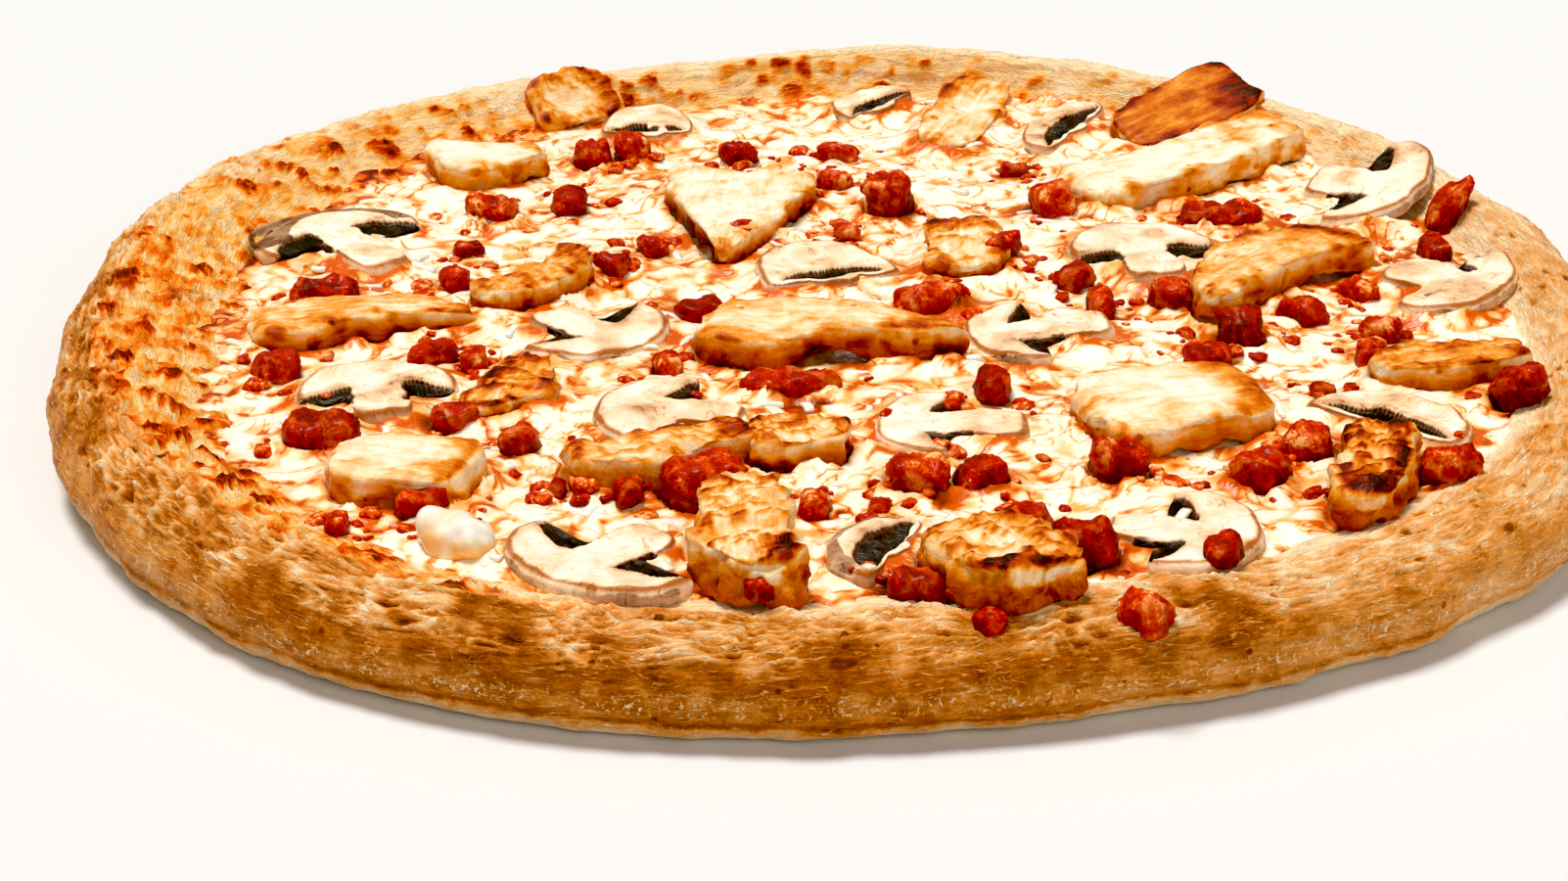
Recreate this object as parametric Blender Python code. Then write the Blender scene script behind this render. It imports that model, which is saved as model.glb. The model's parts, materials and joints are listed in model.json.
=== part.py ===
"""Chicken ranch pizza: a whole hand-stretched pizza under melted cheese, chicken, mushroom slices and bacon.

One closed solid for the crust, one for the cheese with its small crumbs, and one for each large topping.
Metres, +Z up, origin on the underside at the middle of the pizza, the near edge towards -Y.
Tables give places and sizes in millimetres and angles in degrees, anticlockwise from +X.
"""
from collections import namedtuple

import bmesh
import bpy
import numpy as np

MM = 0.001

# Crust
MEAN_RADIUS = 174.5 * MM
OUTLINE_WAVES = ((0.7, 1, -47), (0.7, 2, -171), (0.8, 3, -135), (2.7, 4, -133), (0.7, 5, 70), (0.7, 6, 126))
BELLY_HEIGHT = 8.5 * MM
UNDERCUT = 5.5 * MM
RIM_HEIGHT = 20.5 * MM
RIM_WAVES = ((3.2, 1, 100), (0.5, 5, 40), (0.4, 9, 10))
CREST_INSET = 13.0 * MM
SLOPE_WIDTH = 10.5 * MM
LEFT_SLOPE_EXTRA = 18.0 * MM
LEFT_SLOPE_ANGLE = 168
FRONT_SLOPE_EXTRA = 5.5 * MM
FRONT_SLOPE_ANGLE = -100
LEDGE_HEIGHT = 14.5 * MM
FLOOR_HEIGHT = 6.5 * MM
CRUST_RIPPLE = 0.9 * MM
CRUST_RIPPLE_LENGTH = 22.0 * MM
DENT_START = 4.0 * MM
LIP_HEIGHT = 5.0 * MM
LIP_REACH = 2.5 * MM
LIP_DEPTH = 1.6 * MM
LIP_ANGLE = -150
LOWER_TURNS = (-55, -25, 0)
UPPER_TURNS = (25, 50, 72, 90)
CRUST_SEGMENTS = 80

# Cheese
CHEESE_LEVEL = 13.0 * MM
CHEESE_RIPPLE = 0.5 * MM
CHEESE_RIPPLE_LENGTH = 38.0 * MM
CHEESE_RISE_START = 0.86
CHEESE_RINGS = (1.0, 0.93, 0.85, 0.75, 0.63, 0.5, 0.38, 0.25, 0.12)
CHEESE_SEGMENTS = 72
GAP = 0.35 * MM
EDGE_GAP = 0.75 * MM
RESTING_GAP = 0.5 * MM

# Toppings
CHICKEN_STATIONS = 7
CHICKEN_SIDES = 12
CHICKEN_BLUNTNESS = 0.6
CHICKEN_ROUGHNESS = 0.07
CHICKEN_RIPPLE_LENGTH = 14.0
MUSHROOM_SIDES = 20
MUSHROOM_THICKNESS = 5.0
MUSHROOM_ROUGHNESS = 0.03
MUSHROOM_LEVELS = ((0.90, 0.0), (1.0, 0.45), (0.93, 0.95), (0.5, 1.0))
NOTCH_SHARE = 0.62
BACON_CUTS = 2
CRUMB_CUTS = 1
CRUMB_TURN = 47
CRUMB_RISE = 0.2
LUMP_ROUNDNESS = 0.55
LUMP_ROUGHNESS = 0.10
BALL_SIZE = 1.15
SHARP_ANGLE = 50

Chicken = namedtuple("Chicken", "name x y length width height heading taper bend square pitch")
Mushroom = namedtuple("Mushroom", "name x y dome cap_width cap_height stem_width stem_length")
Lump = namedtuple("Lump", "name x y length width height heading")

CHICKEN = (
    Chicken("chicken_centre", 0, -26, 56, 26, 9, -5, 0.15, -2, 2.6, 0),
    Chicken("chicken_block_right", 68, -68, 38, 29, 9, 16, -0.1, 0, 4.0, 0),
    Chicken("chicken_triangle", -22, 52, 56, 42, 9, -95, 0.85, 0, 4.0, 0),
    Chicken("chicken_long_back", 90, 82, 70, 19, 10, 34, 0.1, 2, 5.0, 0),
    Chicken("chicken_slab_back", 94, 115, 38, 19, 7, 26, -0.35, 0, 3.5, 4),
    Chicken("chicken_strip_left", -103, -12, 48, 17, 8, 13, 0.1, -3, 4.0, 0),
    Chicken("chicken_curl_left", -65, 11, 36, 11, 8, 56, 0.1, 3, 3.5, 0),
    Chicken("chicken_wedge_left", -85, -93, 28, 19, 10, -14, -0.2, 0, 3.5, 0),
    Chicken("chicken_golden_left", -68, -47, 30, 12, 6, 75, -0.2, 2, 3.0, 0),
    Chicken("chicken_strip_front", -35, -85, 38, 13, 8, 25, 0.1, 0, 3.5, 0),
    Chicken("chicken_chunk_front", -8, -81, 20, 15, 9, 5, 0.1, 0, 3.0, 0),
    Chicken("chicken_fold_front", -16, -128, 42, 14, 12, -88, 0.1, 2, 3.0, 0),
    Chicken("chicken_fold_right", 28, -141, 32, 20, 10, -66, 0.1, 0, 3.0, 0),
    Chicken("chicken_bent_right", 101, 8, 54, 15, 9, 42, -0.1, -3, 4.0, 0),
    Chicken("chicken_crisp_right", 103, -102, 38, 13, 9, -103, 0.1, 0, 3.0, 0),
    Chicken("chicken_strip_right", 129, -47, 32, 13, 9, 6, 0.2, 0, 3.5, 0),
    Chicken("chicken_slab_left", -84, 90, 27, 21, 9, 14, 0.1, 0, 3.5, 0),
    Chicken("chicken_slice_back", 37, 128, 50, 17, 6, 71, 0.1, 0, 4.0, 4),
    Chicken("chicken_round_middle", 32, 30, 34, 17, 6, 88, 0.0, 0, 3.0, 0),
    Chicken("chicken_tan_back", -64, 133, 24, 14, 6, 32, 0.1, 0, 3.0, 4),
)

MUSHROOMS = (
    Mushroom("mushroom_left_large", -114, 41, 127, 44, 20, 13, 24),
    Mushroom("mushroom_left_front", -96, -49, 102, 36, 16, 13, 14),
    Mushroom("mushroom_middle_left", -53, -15, -42, 38, 16, 13, 15),
    Mushroom("mushroom_middle_front", -34, -61, 169, 34, 16, 12, 16),
    Mushroom("mushroom_front", -44, -129, -132, 44, 15, 14, 16),
    Mushroom("mushroom_centre_front", 21, -69, 173, 30, 13, 12, 19),
    Mushroom("mushroom_centre_right", 42, -21, 188, 32, 13, 12, 20),
    Mushroom("mushroom_centre", 1, 14, 108, 32, 24, 11, 3),
    Mushroom("mushroom_right_middle", 73, 26, 99, 36, 20, 14, 17),
    Mushroom("mushroom_right_back", 131, 61, -35, 40, 14, 15, 15),
    Mushroom("mushroom_right", 139, 0, -46, 36, 13, 14, 17),
    Mushroom("mushroom_right_curved", 110, -73, 50, 36, 15, 10, 2),
    Mushroom("mushroom_front_right", 63, -122, -15, 38, 16, 13, 14),
    Mushroom("mushroom_front_grey", 9, -127, 157, 30, 12, 8, 3),
    Mushroom("mushroom_back_long", 65, 116, 151, 38, 11, 8, 2),
    Mushroom("mushroom_back_left", -45, 121, 92, 24, 17, 9, 2),
    Mushroom("mushroom_back", 15, 137, 131, 24, 12, 9, 2),
)

BACON = (
    Lump("bacon_01", -104, -72, 15, 11, 9, 0),
    Lump("bacon_02", -26, -99, 16, 11, 10, 20),
    Lump("bacon_03", 15, -97, 13, 10, 9, -5),
    Lump("bacon_04", 28, -95, 10, 9, 8, 30),
    Lump("bacon_05", 94, 48, 20, 9, 8, -12),
    Lump("bacon_06", 23, -3, 18, 10, 8, 30),
    Lump("bacon_07", -9, -48, 21, 8, 7, 3),
    Lump("bacon_08", -114, 8, 15, 8, 8, 10),
    Lump("bacon_09", -80, 60, 12, 9, 8, -15),
    Lump("bacon_10", 15, 61, 11, 11, 11, 0),
    Lump("bacon_11", 44, -131, 11, 10, 10, 10),
    Lump("bacon_12", 55, -93, 11, 9, 9, 20),
    Lump("bacon_13", 92, -86, 10, 9, 9, 0),
    Lump("bacon_14", 82, -97, 11, 9, 9, 40),
    Lump("bacon_15", 140, -61, 10, 9, 9, 0),
    Lump("bacon_16", 119, -96, 12, 8, 8, 10),
    Lump("bacon_17", 147, 43, 10, 9, 9, 50),
    Lump("bacon_18", 88, -24, 10, 9, 10, 0),
    Lump("bacon_19", -58, 99, 9, 9, 9, -10),
    Lump("bacon_20", -48, 103, 9, 9, 9, 20),
)

CHEESE_LUMP = Lump("cheese_lump", -72, -121, 14, 10, 9, -35)

# Small crumbs fused to the cheese: x, y, width
CRUMBS = (
    (-62, 66, 9), (-50, 26, 9), (-36, -38, 8), (-78, -65, 9), (-62, -72, 8), (-86, -30, 8), (-75, -33, 7),
    (35, -113, 9), (3, 100, 8), (33, -50, 8), (118, -23, 8), (111, -35, 7), (139, 24, 8), (120, 0, 7),
    (104, -11, 8), (5, 42, 7), (-41, 37, 7), (-6, -106, 7), (-116, -37, 8), (76, -2, 8), (52, 62, 8),
    (-84, 36, 7), (-23, 98, 8), (54, 8, 7),
)

COLOURS = {
    "crust": ((0.62, 0.33, 0.12), 0.55),
    "cheese": ((0.90, 0.76, 0.48), 0.40),
    "chicken": ((0.74, 0.50, 0.25), 0.50),
    "mushroom": ((0.86, 0.76, 0.58), 0.50),
    "bacon": ((0.36, 0.07, 0.03), 0.35),
    "lump": ((0.92, 0.86, 0.70), 0.30),
}


def waves(angle, terms):
    """Sum over the terms (millimetres, turns, phase) of millimetres * cos(turns * angle - phase)."""
    return sum(size * MM * np.cos(turns * angle - np.radians(phase)) for size, turns, phase in terms)


def ripple(x, y, length, seed, count=7):
    """Smooth noise between about -1 and 1: plane waves of about the given length in random directions."""
    draw = np.random.default_rng(seed)
    total = 0.0
    for _ in range(count):
        heading, phase = draw.uniform(0, 2 * np.pi, 2)
        pitch = 2 * np.pi / (length * draw.uniform(0.7, 1.5))
        total = total + np.cos(pitch * (x * np.cos(heading) + y * np.sin(heading)) + phase)
    return total / np.sqrt(count)


def smooth_step(low, high, value):
    """0 below low, 1 above high, and 3t^2 - 2t^3 between them."""
    t = np.clip((value - low) / (high - low), 0, 1)
    return t * t * (3 - 2 * t)


def swell(angle, middle, power):
    """1 in the direction of middle, in degrees, falling to 0 a quarter turn away."""
    return np.clip(np.cos(angle - np.radians(middle)), 0, 1) ** power


def place(x, y, heading, local_x, local_y):
    """Turns local coordinates by a heading in degrees and moves them to x, y."""
    turn = np.radians(heading)
    return (x + local_x * np.cos(turn) - local_y * np.sin(turn),
            y + local_x * np.sin(turn) + local_y * np.cos(turn))


def outer_radius(angle):
    """Widest radius of the crust at an angle."""
    return MEAN_RADIUS + waves(angle, OUTLINE_WAVES)


def rim_height(angle):
    """Height of the crust's crest at an angle."""
    return RIM_HEIGHT + waves(angle, RIM_WAVES)


def cheese_radius(angle):
    """Radius where the cheese meets the rim; the rim's inner slope is wider on the left and at the front."""
    left = LEFT_SLOPE_EXTRA * swell(angle, LEFT_SLOPE_ANGLE, 3)
    front = FRONT_SLOPE_EXTRA * swell(angle, FRONT_SLOPE_ANGLE, 2)
    return outer_radius(angle) - CREST_INSET - SLOPE_WIDTH - left - front


def slope_height(angle, radius):
    """Height of the rim's inner slope: half a cosine wave from the crest down to the ledge."""
    crest = outer_radius(angle) - CREST_INSET
    foot = cheese_radius(angle)
    t = np.clip((crest - radius) / (crest - foot), 0, 1)
    return LEDGE_HEIGHT + (rim_height(angle) - LEDGE_HEIGHT) * (0.5 + 0.5 * np.cos(np.pi * t))


def cheese_height(x, y):
    """Height of the cheese: level, gently rippled, and rising to the ledge near its edge."""
    angle = np.arctan2(y, x)
    near_edge = smooth_step(CHEESE_RISE_START, 1.0, np.hypot(x, y) / cheese_radius(angle))
    inside = CHEESE_LEVEL + CHEESE_RIPPLE * ripple(x, y, CHEESE_RIPPLE_LENGTH, seed=3)
    return inside + (LEDGE_HEIGHT - GAP - inside) * near_edge


def support_height(x, y):
    """Height of what a topping lies on: the cheese, or the rim beyond it."""
    angle = np.arctan2(y, x)
    radius = np.hypot(x, y)
    on_rim = slope_height(angle, radius) + CRUST_RIPPLE
    return np.where(radius < cheese_radius(angle), cheese_height(x, y), on_rim)


def make_material(name):
    """A plain Principled material of the named colour and roughness."""
    colour, roughness = COLOURS[name]
    material = bpy.data.materials.new(name)
    material.use_nodes = True
    shader = material.node_tree.nodes["Principled BSDF"]
    shader.inputs["Base Color"].default_value = (*colour, 1.0)
    shader.inputs["Roughness"].default_value = roughness
    material.diffuse_color = (*colour, 1.0)
    return material


def add_object(name, points, faces, material, collection=None):
    """Makes one closed, smoothly shaded object with its faces pointing out."""
    mesh = bpy.data.meshes.new(name)
    mesh.from_pydata([tuple(p) for p in points], [], faces)
    work = bmesh.new()
    work.from_mesh(mesh)
    bmesh.ops.recalc_face_normals(work, faces=work.faces)
    work.to_mesh(mesh)
    work.free()
    mesh.shade_smooth()
    mesh.set_sharp_from_angle(angle=np.radians(SHARP_ANGLE))
    mesh.materials.append(material)
    obj = bpy.data.objects.new(name, mesh)
    (collection or bpy.context.scene.collection).objects.link(obj)
    return obj


def ring_faces(ring_count, side_count):
    """Faces of a tube of closed rings, each end drawn together to one point after the rings' points."""
    faces = []
    for low in range(0, (ring_count - 1) * side_count, side_count):
        for side in range(side_count):
            following = (side + 1) % side_count
            high = low + side_count
            faces.append((low + side, low + following, high + following, high + side))
    first = ring_count * side_count
    top = first - side_count
    for side in range(side_count):
        following = (side + 1) % side_count
        faces.append((first, following, side))
        faces.append((first + 1, top + side, top + following))
    return faces


def add_rings(name, rings, first, last, material):
    """Makes an object from rings (an array ring, side, xyz) closed by the points first and last."""
    points = np.concatenate([rings.reshape(-1, 3), [first, last]])
    return add_object(name, points, ring_faces(rings.shape[0], rings.shape[1]), material)


def crust_section(angle):
    """Radius and height of the crust's section at each angle, from the underside round to the floor."""
    level = np.zeros_like(angle)
    widest = outer_radius(angle)
    height = rim_height(angle)
    foot = cheese_radius(angle)
    contact = widest - UNDERCUT
    crest = widest - CREST_INSET
    section = [(contact * 0.5, level), (contact, level)]
    for turn in np.radians(LOWER_TURNS):
        section.append((contact + UNDERCUT * np.cos(turn), BELLY_HEIGHT * (1 + np.sin(turn))))
    for turn in np.radians(UPPER_TURNS):
        section.append((crest + CREST_INSET * np.cos(turn), BELLY_HEIGHT + (height - BELLY_HEIGHT) * np.sin(turn)))
    for part in (0.25, 0.5, 0.75, 1.0):
        radius = crest + (foot - crest) * part
        section.append((radius, slope_height(angle, radius)))
    section.append((foot, level + FLOOR_HEIGHT))
    section.append((foot * 0.5, level + FLOOR_HEIGHT))
    return section


def crust_relief(angle, radius, height):
    """How far the crust's skin stands out: shallow dents all round and a folded lip low on the left."""
    skin = smooth_step(0, DENT_START, height) * (radius > cheese_radius(angle) + MM)
    dents = CRUST_RIPPLE * ripple(angle * radius, height * 2.2, CRUST_RIPPLE_LENGTH, seed=11)
    above_lip = np.exp(-((height - LIP_HEIGHT) / LIP_REACH) ** 2) * (radius > outer_radius(angle) - UNDERCUT)
    return skin * dents - LIP_DEPTH * above_lip * swell(angle, LIP_ANGLE, 4)


def build_crust(material):
    """The crust: a flat underside, a swollen rim with shallow dents, and a floor under the cheese."""
    angle = np.linspace(0, 2 * np.pi, CRUST_SEGMENTS, endpoint=False)
    rings = []
    for radius, height in crust_section(angle):
        relief = crust_relief(angle, radius, height)
        across = radius + relief
        up = height + 0.5 * relief * (height > BELLY_HEIGHT)
        rings.append(np.stack([across * np.cos(angle), across * np.sin(angle), up], axis=-1))
    return add_rings("crust", np.array(rings), (0, 0, 0), (0, 0, FLOOR_HEIGHT), material)


def build_cheese(material):
    """The cheese: a disc that fills the crust's recess, with a gently rippled top."""
    angle = np.linspace(0, 2 * np.pi, CHEESE_SEGMENTS, endpoint=False)
    edge = cheese_radius(angle) - EDGE_GAP
    bottom = FLOOR_HEIGHT + GAP
    rings = [np.stack([edge * np.cos(angle), edge * np.sin(angle), np.full_like(angle, bottom)], axis=-1)]
    for part in CHEESE_RINGS:
        x = part * edge * np.cos(angle)
        y = part * edge * np.sin(angle)
        rings.append(np.stack([x, y, cheese_height(x, y)], axis=-1))
    centre = (0, 0, float(cheese_height(0.0, 0.0)))
    return add_rings("cheese", np.array(rings), (0, 0, bottom), centre, material)


def add_lump(name, piece, z, seed, cuts, material, collection=None):
    """A rough rounded block: a cube's surface pushed part way to a ball and roughened."""
    work = bmesh.new()
    bmesh.ops.create_cube(work, size=2.0)
    bmesh.ops.subdivide_edges(work, edges=work.edges, cuts=cuts, use_grid_fill=True)
    work.verts.index_update()
    cube = np.array([vert.co for vert in work.verts])
    faces = [[vert.index for vert in face.verts] for face in work.faces]
    work.free()
    ball = cube / np.linalg.norm(cube, axis=1)[:, None]
    shape = (1 - LUMP_ROUNDNESS) * cube + LUMP_ROUNDNESS * BALL_SIZE * ball
    rough = 1 + LUMP_ROUGHNESS * ripple(cube[:, 0] + 3 * cube[:, 2], cube[:, 1] - 2 * cube[:, 2], 1.8, seed)
    shape = shape * rough[:, None] * (piece.length / 2, piece.width / 2, piece.height / 2)
    x, y = place(piece.x, piece.y, piece.heading, shape[:, 0], shape[:, 1])
    points = np.stack([x * MM, y * MM, shape[:, 2] * MM + z], axis=-1)
    return add_object(name, points, faces, material, collection)


def rest_on_support(obj):
    """Leans a topping with the plane that best fits the support under it, and sets it just clear of it."""
    count = len(obj.data.vertices)
    points = np.empty(count * 3)
    obj.data.vertices.foreach_get("co", points)
    points = points.reshape(-1, 3)
    level = support_height(points[:, 0], points[:, 1])
    plane = np.stack([points[:, 0], points[:, 1], np.ones(count)], axis=-1)
    points[:, 2] += plane @ np.linalg.lstsq(plane, level, rcond=None)[0]
    points[:, 2] += RESTING_GAP - (points[:, 2] - level).min()
    obj.data.vertices.foreach_set("co", points.ravel())
    obj.data.update()


def build_chicken(piece, material, seed):
    """A chicken piece: blocky sections along a bent line, narrowing by its taper towards the far end."""
    station = np.cos(np.linspace(np.pi, 0, CHICKEN_STATIONS + 2))[1:-1][:, None]
    turn = np.linspace(0, 2 * np.pi, CHICKEN_SIDES, endpoint=False)[None, :]
    fullness = (1 - np.abs(station) ** piece.square) ** (1 / piece.square)
    half_width = piece.width / 2 * (1 - piece.taper * (station + 1) / 2) * fullness
    half_height = piece.height / 2 * np.sqrt(1 - np.abs(station) ** 6)
    across = half_width * np.sign(np.cos(turn)) * np.abs(np.cos(turn)) ** CHICKEN_BLUNTNESS
    upward = half_height * np.sign(np.sin(turn)) * np.abs(np.sin(turn)) ** CHICKEN_BLUNTNESS
    along = piece.length / 2 * station + 0 * turn
    uneven = 1 + CHICKEN_ROUGHNESS * ripple(along, across * 2 + upward, CHICKEN_RIPPLE_LENGTH, seed)
    across = across * uneven + piece.bend * (2 * station ** 2 - 1)
    upward = upward * np.where(upward > 0, uneven, 1)
    pitch = np.radians(piece.pitch)
    tilted = across * np.cos(pitch) - upward * np.sin(pitch)
    raised = across * np.sin(pitch) + upward * np.cos(pitch)
    x, y = place(piece.x, piece.y, piece.heading, along, tilted)
    rings = np.stack([x, y, raised], axis=-1) * MM
    rest_on_support(add_rings(piece.name, rings, rings[0].mean(axis=0), rings[-1].mean(axis=0), material))


def mushroom_outline(piece, angle):
    """Radius of a mushroom slice's outline: the larger of a half-round cap and a straight stem."""
    side = np.cos(angle)
    up = np.sin(angle)
    cap = 1 / np.sqrt((side / (piece.cap_width / 2)) ** 2 + (up / piece.cap_height) ** 2)
    notch = piece.stem_width * NOTCH_SHARE
    cap = notch + (cap - notch) * smooth_step(-0.45, -0.12, up)
    flank = piece.stem_width / 2 / np.maximum(np.abs(side), 1e-6)
    end = piece.stem_length / np.maximum(-up, 1e-6)
    stem = np.where(up < -0.3, (flank ** -6 + end ** -6) ** (-1 / 6), 0)
    return np.maximum(cap, stem)


def build_mushroom(piece, material, seed):
    """A mushroom slice lying flat: its outline at four levels, drawn in and rounded at both faces."""
    angle = np.linspace(0, 2 * np.pi, MUSHROOM_SIDES, endpoint=False)
    outline = mushroom_outline(piece, angle) * (1 + MUSHROOM_ROUGHNESS * ripple(angle * 10, 0, 8.0, seed))
    rings = []
    for inward, level in MUSHROOM_LEVELS:
        local_x = outline * inward * np.cos(angle)
        local_y = outline * inward * np.sin(angle)
        x, y = place(piece.x, piece.y, piece.dome - 90, local_x, local_y)
        rings.append(np.stack([x, y, np.full_like(angle, MUSHROOM_THICKNESS * level)], axis=-1) * MM)
    bottom = np.array((piece.x, piece.y, 0)) * MM
    top = np.array((piece.x, piece.y, MUSHROOM_THICKNESS)) * MM
    rest_on_support(add_rings(piece.name, np.array(rings), bottom, top, material))


def fuse_crumbs(cheese, material):
    """Joins the small crumbs to the cheese with one union and removes their own objects."""
    crumbs = bpy.data.collections.new("crumbs")
    bpy.context.scene.collection.children.link(crumbs)
    for index, (x, y, width) in enumerate(CRUMBS):
        crumb = Lump(f"crumb_{index}", x, y, width, width * 0.8, width * 0.75, CRUMB_TURN * index)
        z = float(cheese_height(x * MM, y * MM)) + CRUMB_RISE * crumb.height * MM
        add_lump(crumb.name, crumb, z, 100 + index, CRUMB_CUTS, material, crumbs)
    union = cheese.modifiers.new("union", "BOOLEAN")
    union.operation = "UNION"
    union.operand_type = "COLLECTION"
    union.collection = crumbs
    union.solver = "EXACT"
    joined = bpy.data.meshes.new_from_object(cheese.evaluated_get(bpy.context.evaluated_depsgraph_get()))
    cheese.modifiers.clear()
    cheese.data = joined
    for obj in list(crumbs.objects):
        bpy.data.objects.remove(obj)
    bpy.data.collections.remove(crumbs)


def main():
    """Clears the scene and builds every sub-part."""
    for obj in list(bpy.data.objects):
        bpy.data.objects.remove(obj)
    materials = {name: make_material(name) for name in COLOURS}
    build_crust(materials["crust"])
    cheese = build_cheese(materials["cheese"])
    fuse_crumbs(cheese, materials["cheese"])
    for index, piece in enumerate(CHICKEN):
        build_chicken(piece, materials["chicken"], seed=200 + index)
    for index, piece in enumerate(MUSHROOMS):
        build_mushroom(piece, materials["mushroom"], seed=300 + index)
    for index, piece in enumerate(BACON):
        rest_on_support(add_lump(piece.name, piece, 0, 400 + index, BACON_CUTS, materials["bacon"]))
    rest_on_support(add_lump(CHEESE_LUMP.name, CHEESE_LUMP, 0, 9, BACON_CUTS, materials["lump"]))


main()
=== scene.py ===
"""Finished surfaces of a chicken ranch pizza, laid out as a Blender add-on.

Metres, +Z up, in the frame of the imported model: the underside at z = 0, the near edge towards -Y.
Tables give sizes in millimetres and angles in degrees anticlockwise from +X.
Every surface carries two attributes: tone, from 0 (palest) to 1 (darkest), which its material turns into
colour, and strand, coordinates that are stretched along the food's own fibres.
"""
import json
from collections import namedtuple

import bpy
import numpy as np
from mathutils import Matrix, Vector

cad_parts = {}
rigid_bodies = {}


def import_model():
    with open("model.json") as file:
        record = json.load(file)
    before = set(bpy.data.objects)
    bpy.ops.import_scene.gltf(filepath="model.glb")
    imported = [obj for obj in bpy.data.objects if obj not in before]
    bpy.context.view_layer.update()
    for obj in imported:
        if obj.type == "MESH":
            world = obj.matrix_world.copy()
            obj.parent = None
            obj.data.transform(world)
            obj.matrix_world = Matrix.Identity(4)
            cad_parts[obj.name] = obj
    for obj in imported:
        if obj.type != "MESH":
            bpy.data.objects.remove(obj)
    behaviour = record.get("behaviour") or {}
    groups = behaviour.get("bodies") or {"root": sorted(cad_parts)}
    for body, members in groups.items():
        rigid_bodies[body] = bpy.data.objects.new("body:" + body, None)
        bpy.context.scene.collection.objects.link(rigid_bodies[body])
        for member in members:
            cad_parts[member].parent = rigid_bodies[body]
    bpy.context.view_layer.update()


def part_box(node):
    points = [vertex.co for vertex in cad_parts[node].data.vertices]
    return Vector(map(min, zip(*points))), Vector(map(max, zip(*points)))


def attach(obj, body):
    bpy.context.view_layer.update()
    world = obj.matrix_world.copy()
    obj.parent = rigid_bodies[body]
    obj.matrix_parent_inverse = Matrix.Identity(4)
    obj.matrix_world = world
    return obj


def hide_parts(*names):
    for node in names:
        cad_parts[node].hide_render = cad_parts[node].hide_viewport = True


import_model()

bl_info = {
    "name": "Chicken ranch pizza",
    "blender": (4, 5, 0),
    "version": (1, 0, 0),
    "location": "3D View > Sidebar > Pizza",
    "description": "Makes the crust, cheese and toppings of a chicken ranch pizza",
    "category": "Add Mesh",
}

MM = 0.001

# Waves of the crust's outline and crest: millimetres, turns round the pizza, phase in degrees
OUTLINE_WAVES = ((0.7, 1, -47), (0.7, 2, -171), (0.8, 3, -135), (2.7, 4, -133), (0.7, 5, 70), (0.7, 6, 126))
RIM_WAVES = ((3.2, 1, 100), (0.5, 5, 40), (0.4, 9, 10))

# Directions in which the crust changes, and heights of its lip and groove in millimetres
LEFT_SLOPE_ANGLE = 168
FRONT_SLOPE_ANGLE = -100
LIP_ANGLE = -150
BACK_ANGLE = 90
FRONT_ANGLE = -90
RIGHT_ANGLE = -10
LIP_HEIGHT = 5
GROOVE_HEIGHT = 4.0

# Fineness of the grids; at the front the crust's columns lie closer by the share CRUST_BUNCHING
CRUST_COLUMNS = 960
CRUST_BUNCHING = 0.3
CRUST_ROWS = {"under": 3, "lower": 16, "upper": 48, "slope": 33, "inside": 3}
CHEESE_CELLS = 298
CHICKEN_GRID = (60, 64)
MUSHROOM_COLUMNS = 168
BACON_GRID = (26, 32)
BIT_GRID = (14, 18)
FLECK_GRID = (6, 9)
SHRED_GRID = (6, 8)

# Height maps: half their side, and their side, in cells of a millimetre
MAP_HALF = 190
MAP_SIDE = 2 * MAP_HALF + 1

# Patterns of layered noise: size in millimetres, first seed, layers
Pattern = namedtuple("Pattern", "size seed layers")
CRUST_PATCHES = Pattern(16, 26, 2)
CRUST_SWELLS = Pattern(24, 29, 2)
CRUST_LUMPS = Pattern(6, 30, 3)
CRUST_BROWNING = Pattern(15, 32, 3)
CRUST_MELTED = Pattern(9, 33, 2)
CHEESE_MOUNDS = Pattern(17, 52, 2)
CHEESE_BLOBS = Pattern(9, 53, 2)
CHEESE_STAINS = Pattern(14, 54, 3)
CHEESE_DRIPS = Pattern(8, 55, 2)
CHEESE_GOLDEN = Pattern(24, 56, 3)
SHRED_CLUSTERS = Pattern(20, 73, 2)

# Spacing of the crust's folds, strands along and across, pits and blisters, in millimetres
WARP_SIZE = 11
STRAND_SPACING = (12, 2.8)
PIT_SPACING = 4.4
BLISTER_SPACING = 7.0

# First seeds of the toppings; each next piece has the next ten
CHICKEN_SEED = 200
MUSHROOM_SEED = 300
BACON_SEED = 400
BIT_SEED = 700
SEED_STEP = 10

# Scattered bits: flecks for each bit of bacon, tries for shreds
FLECKS_EACH = 8
SHRED_TRIES = 2100

# Finish that all the foods share; the distances are metres
SPECULAR_TINT = (1.0, 0.80, 0.55, 1.0)
SUBSURFACE_RADIUS = (1.0, 0.5, 0.2)
SUBSURFACE_SCALE = 0.002
COAT_ROUGHNESS = 0.15
BUMP_DISTANCE = 0.0008

# Camera at the photograph's angle, angles in degrees, lens and sensor in millimetres
CAMERA_PLACE = (-0.0107, -0.6344, 0.2665)
CAMERA_PITCH = 24.2
CAMERA_ROLL = -0.9
CAMERA_LENS = 70.0
CAMERA_SENSOR = 36.0

# Lights: place they shine from, strength, colour, width in degrees. The floor's sizes are metres
KEY_LIGHT = ((-0.22, 0.26, 1.0), 3.05, (1.0, 0.985, 0.96), 18)
FILL_LIGHT = ((0.55, -0.95, 0.6), 0.95, (1.0, 0.98, 0.95), 50)
WORLD_COLOUR = (1.0, 0.99, 0.97, 1)
WORLD_STRENGTH = 0.24
BLACK_LEVEL = (0.010, 0.010, 0.016)
FLOOR_HALF = 6.0
FLOOR_LEVEL = -0.0003
FLOOR_COLOUR = (0.76, 0.755, 0.74, 1)

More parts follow.
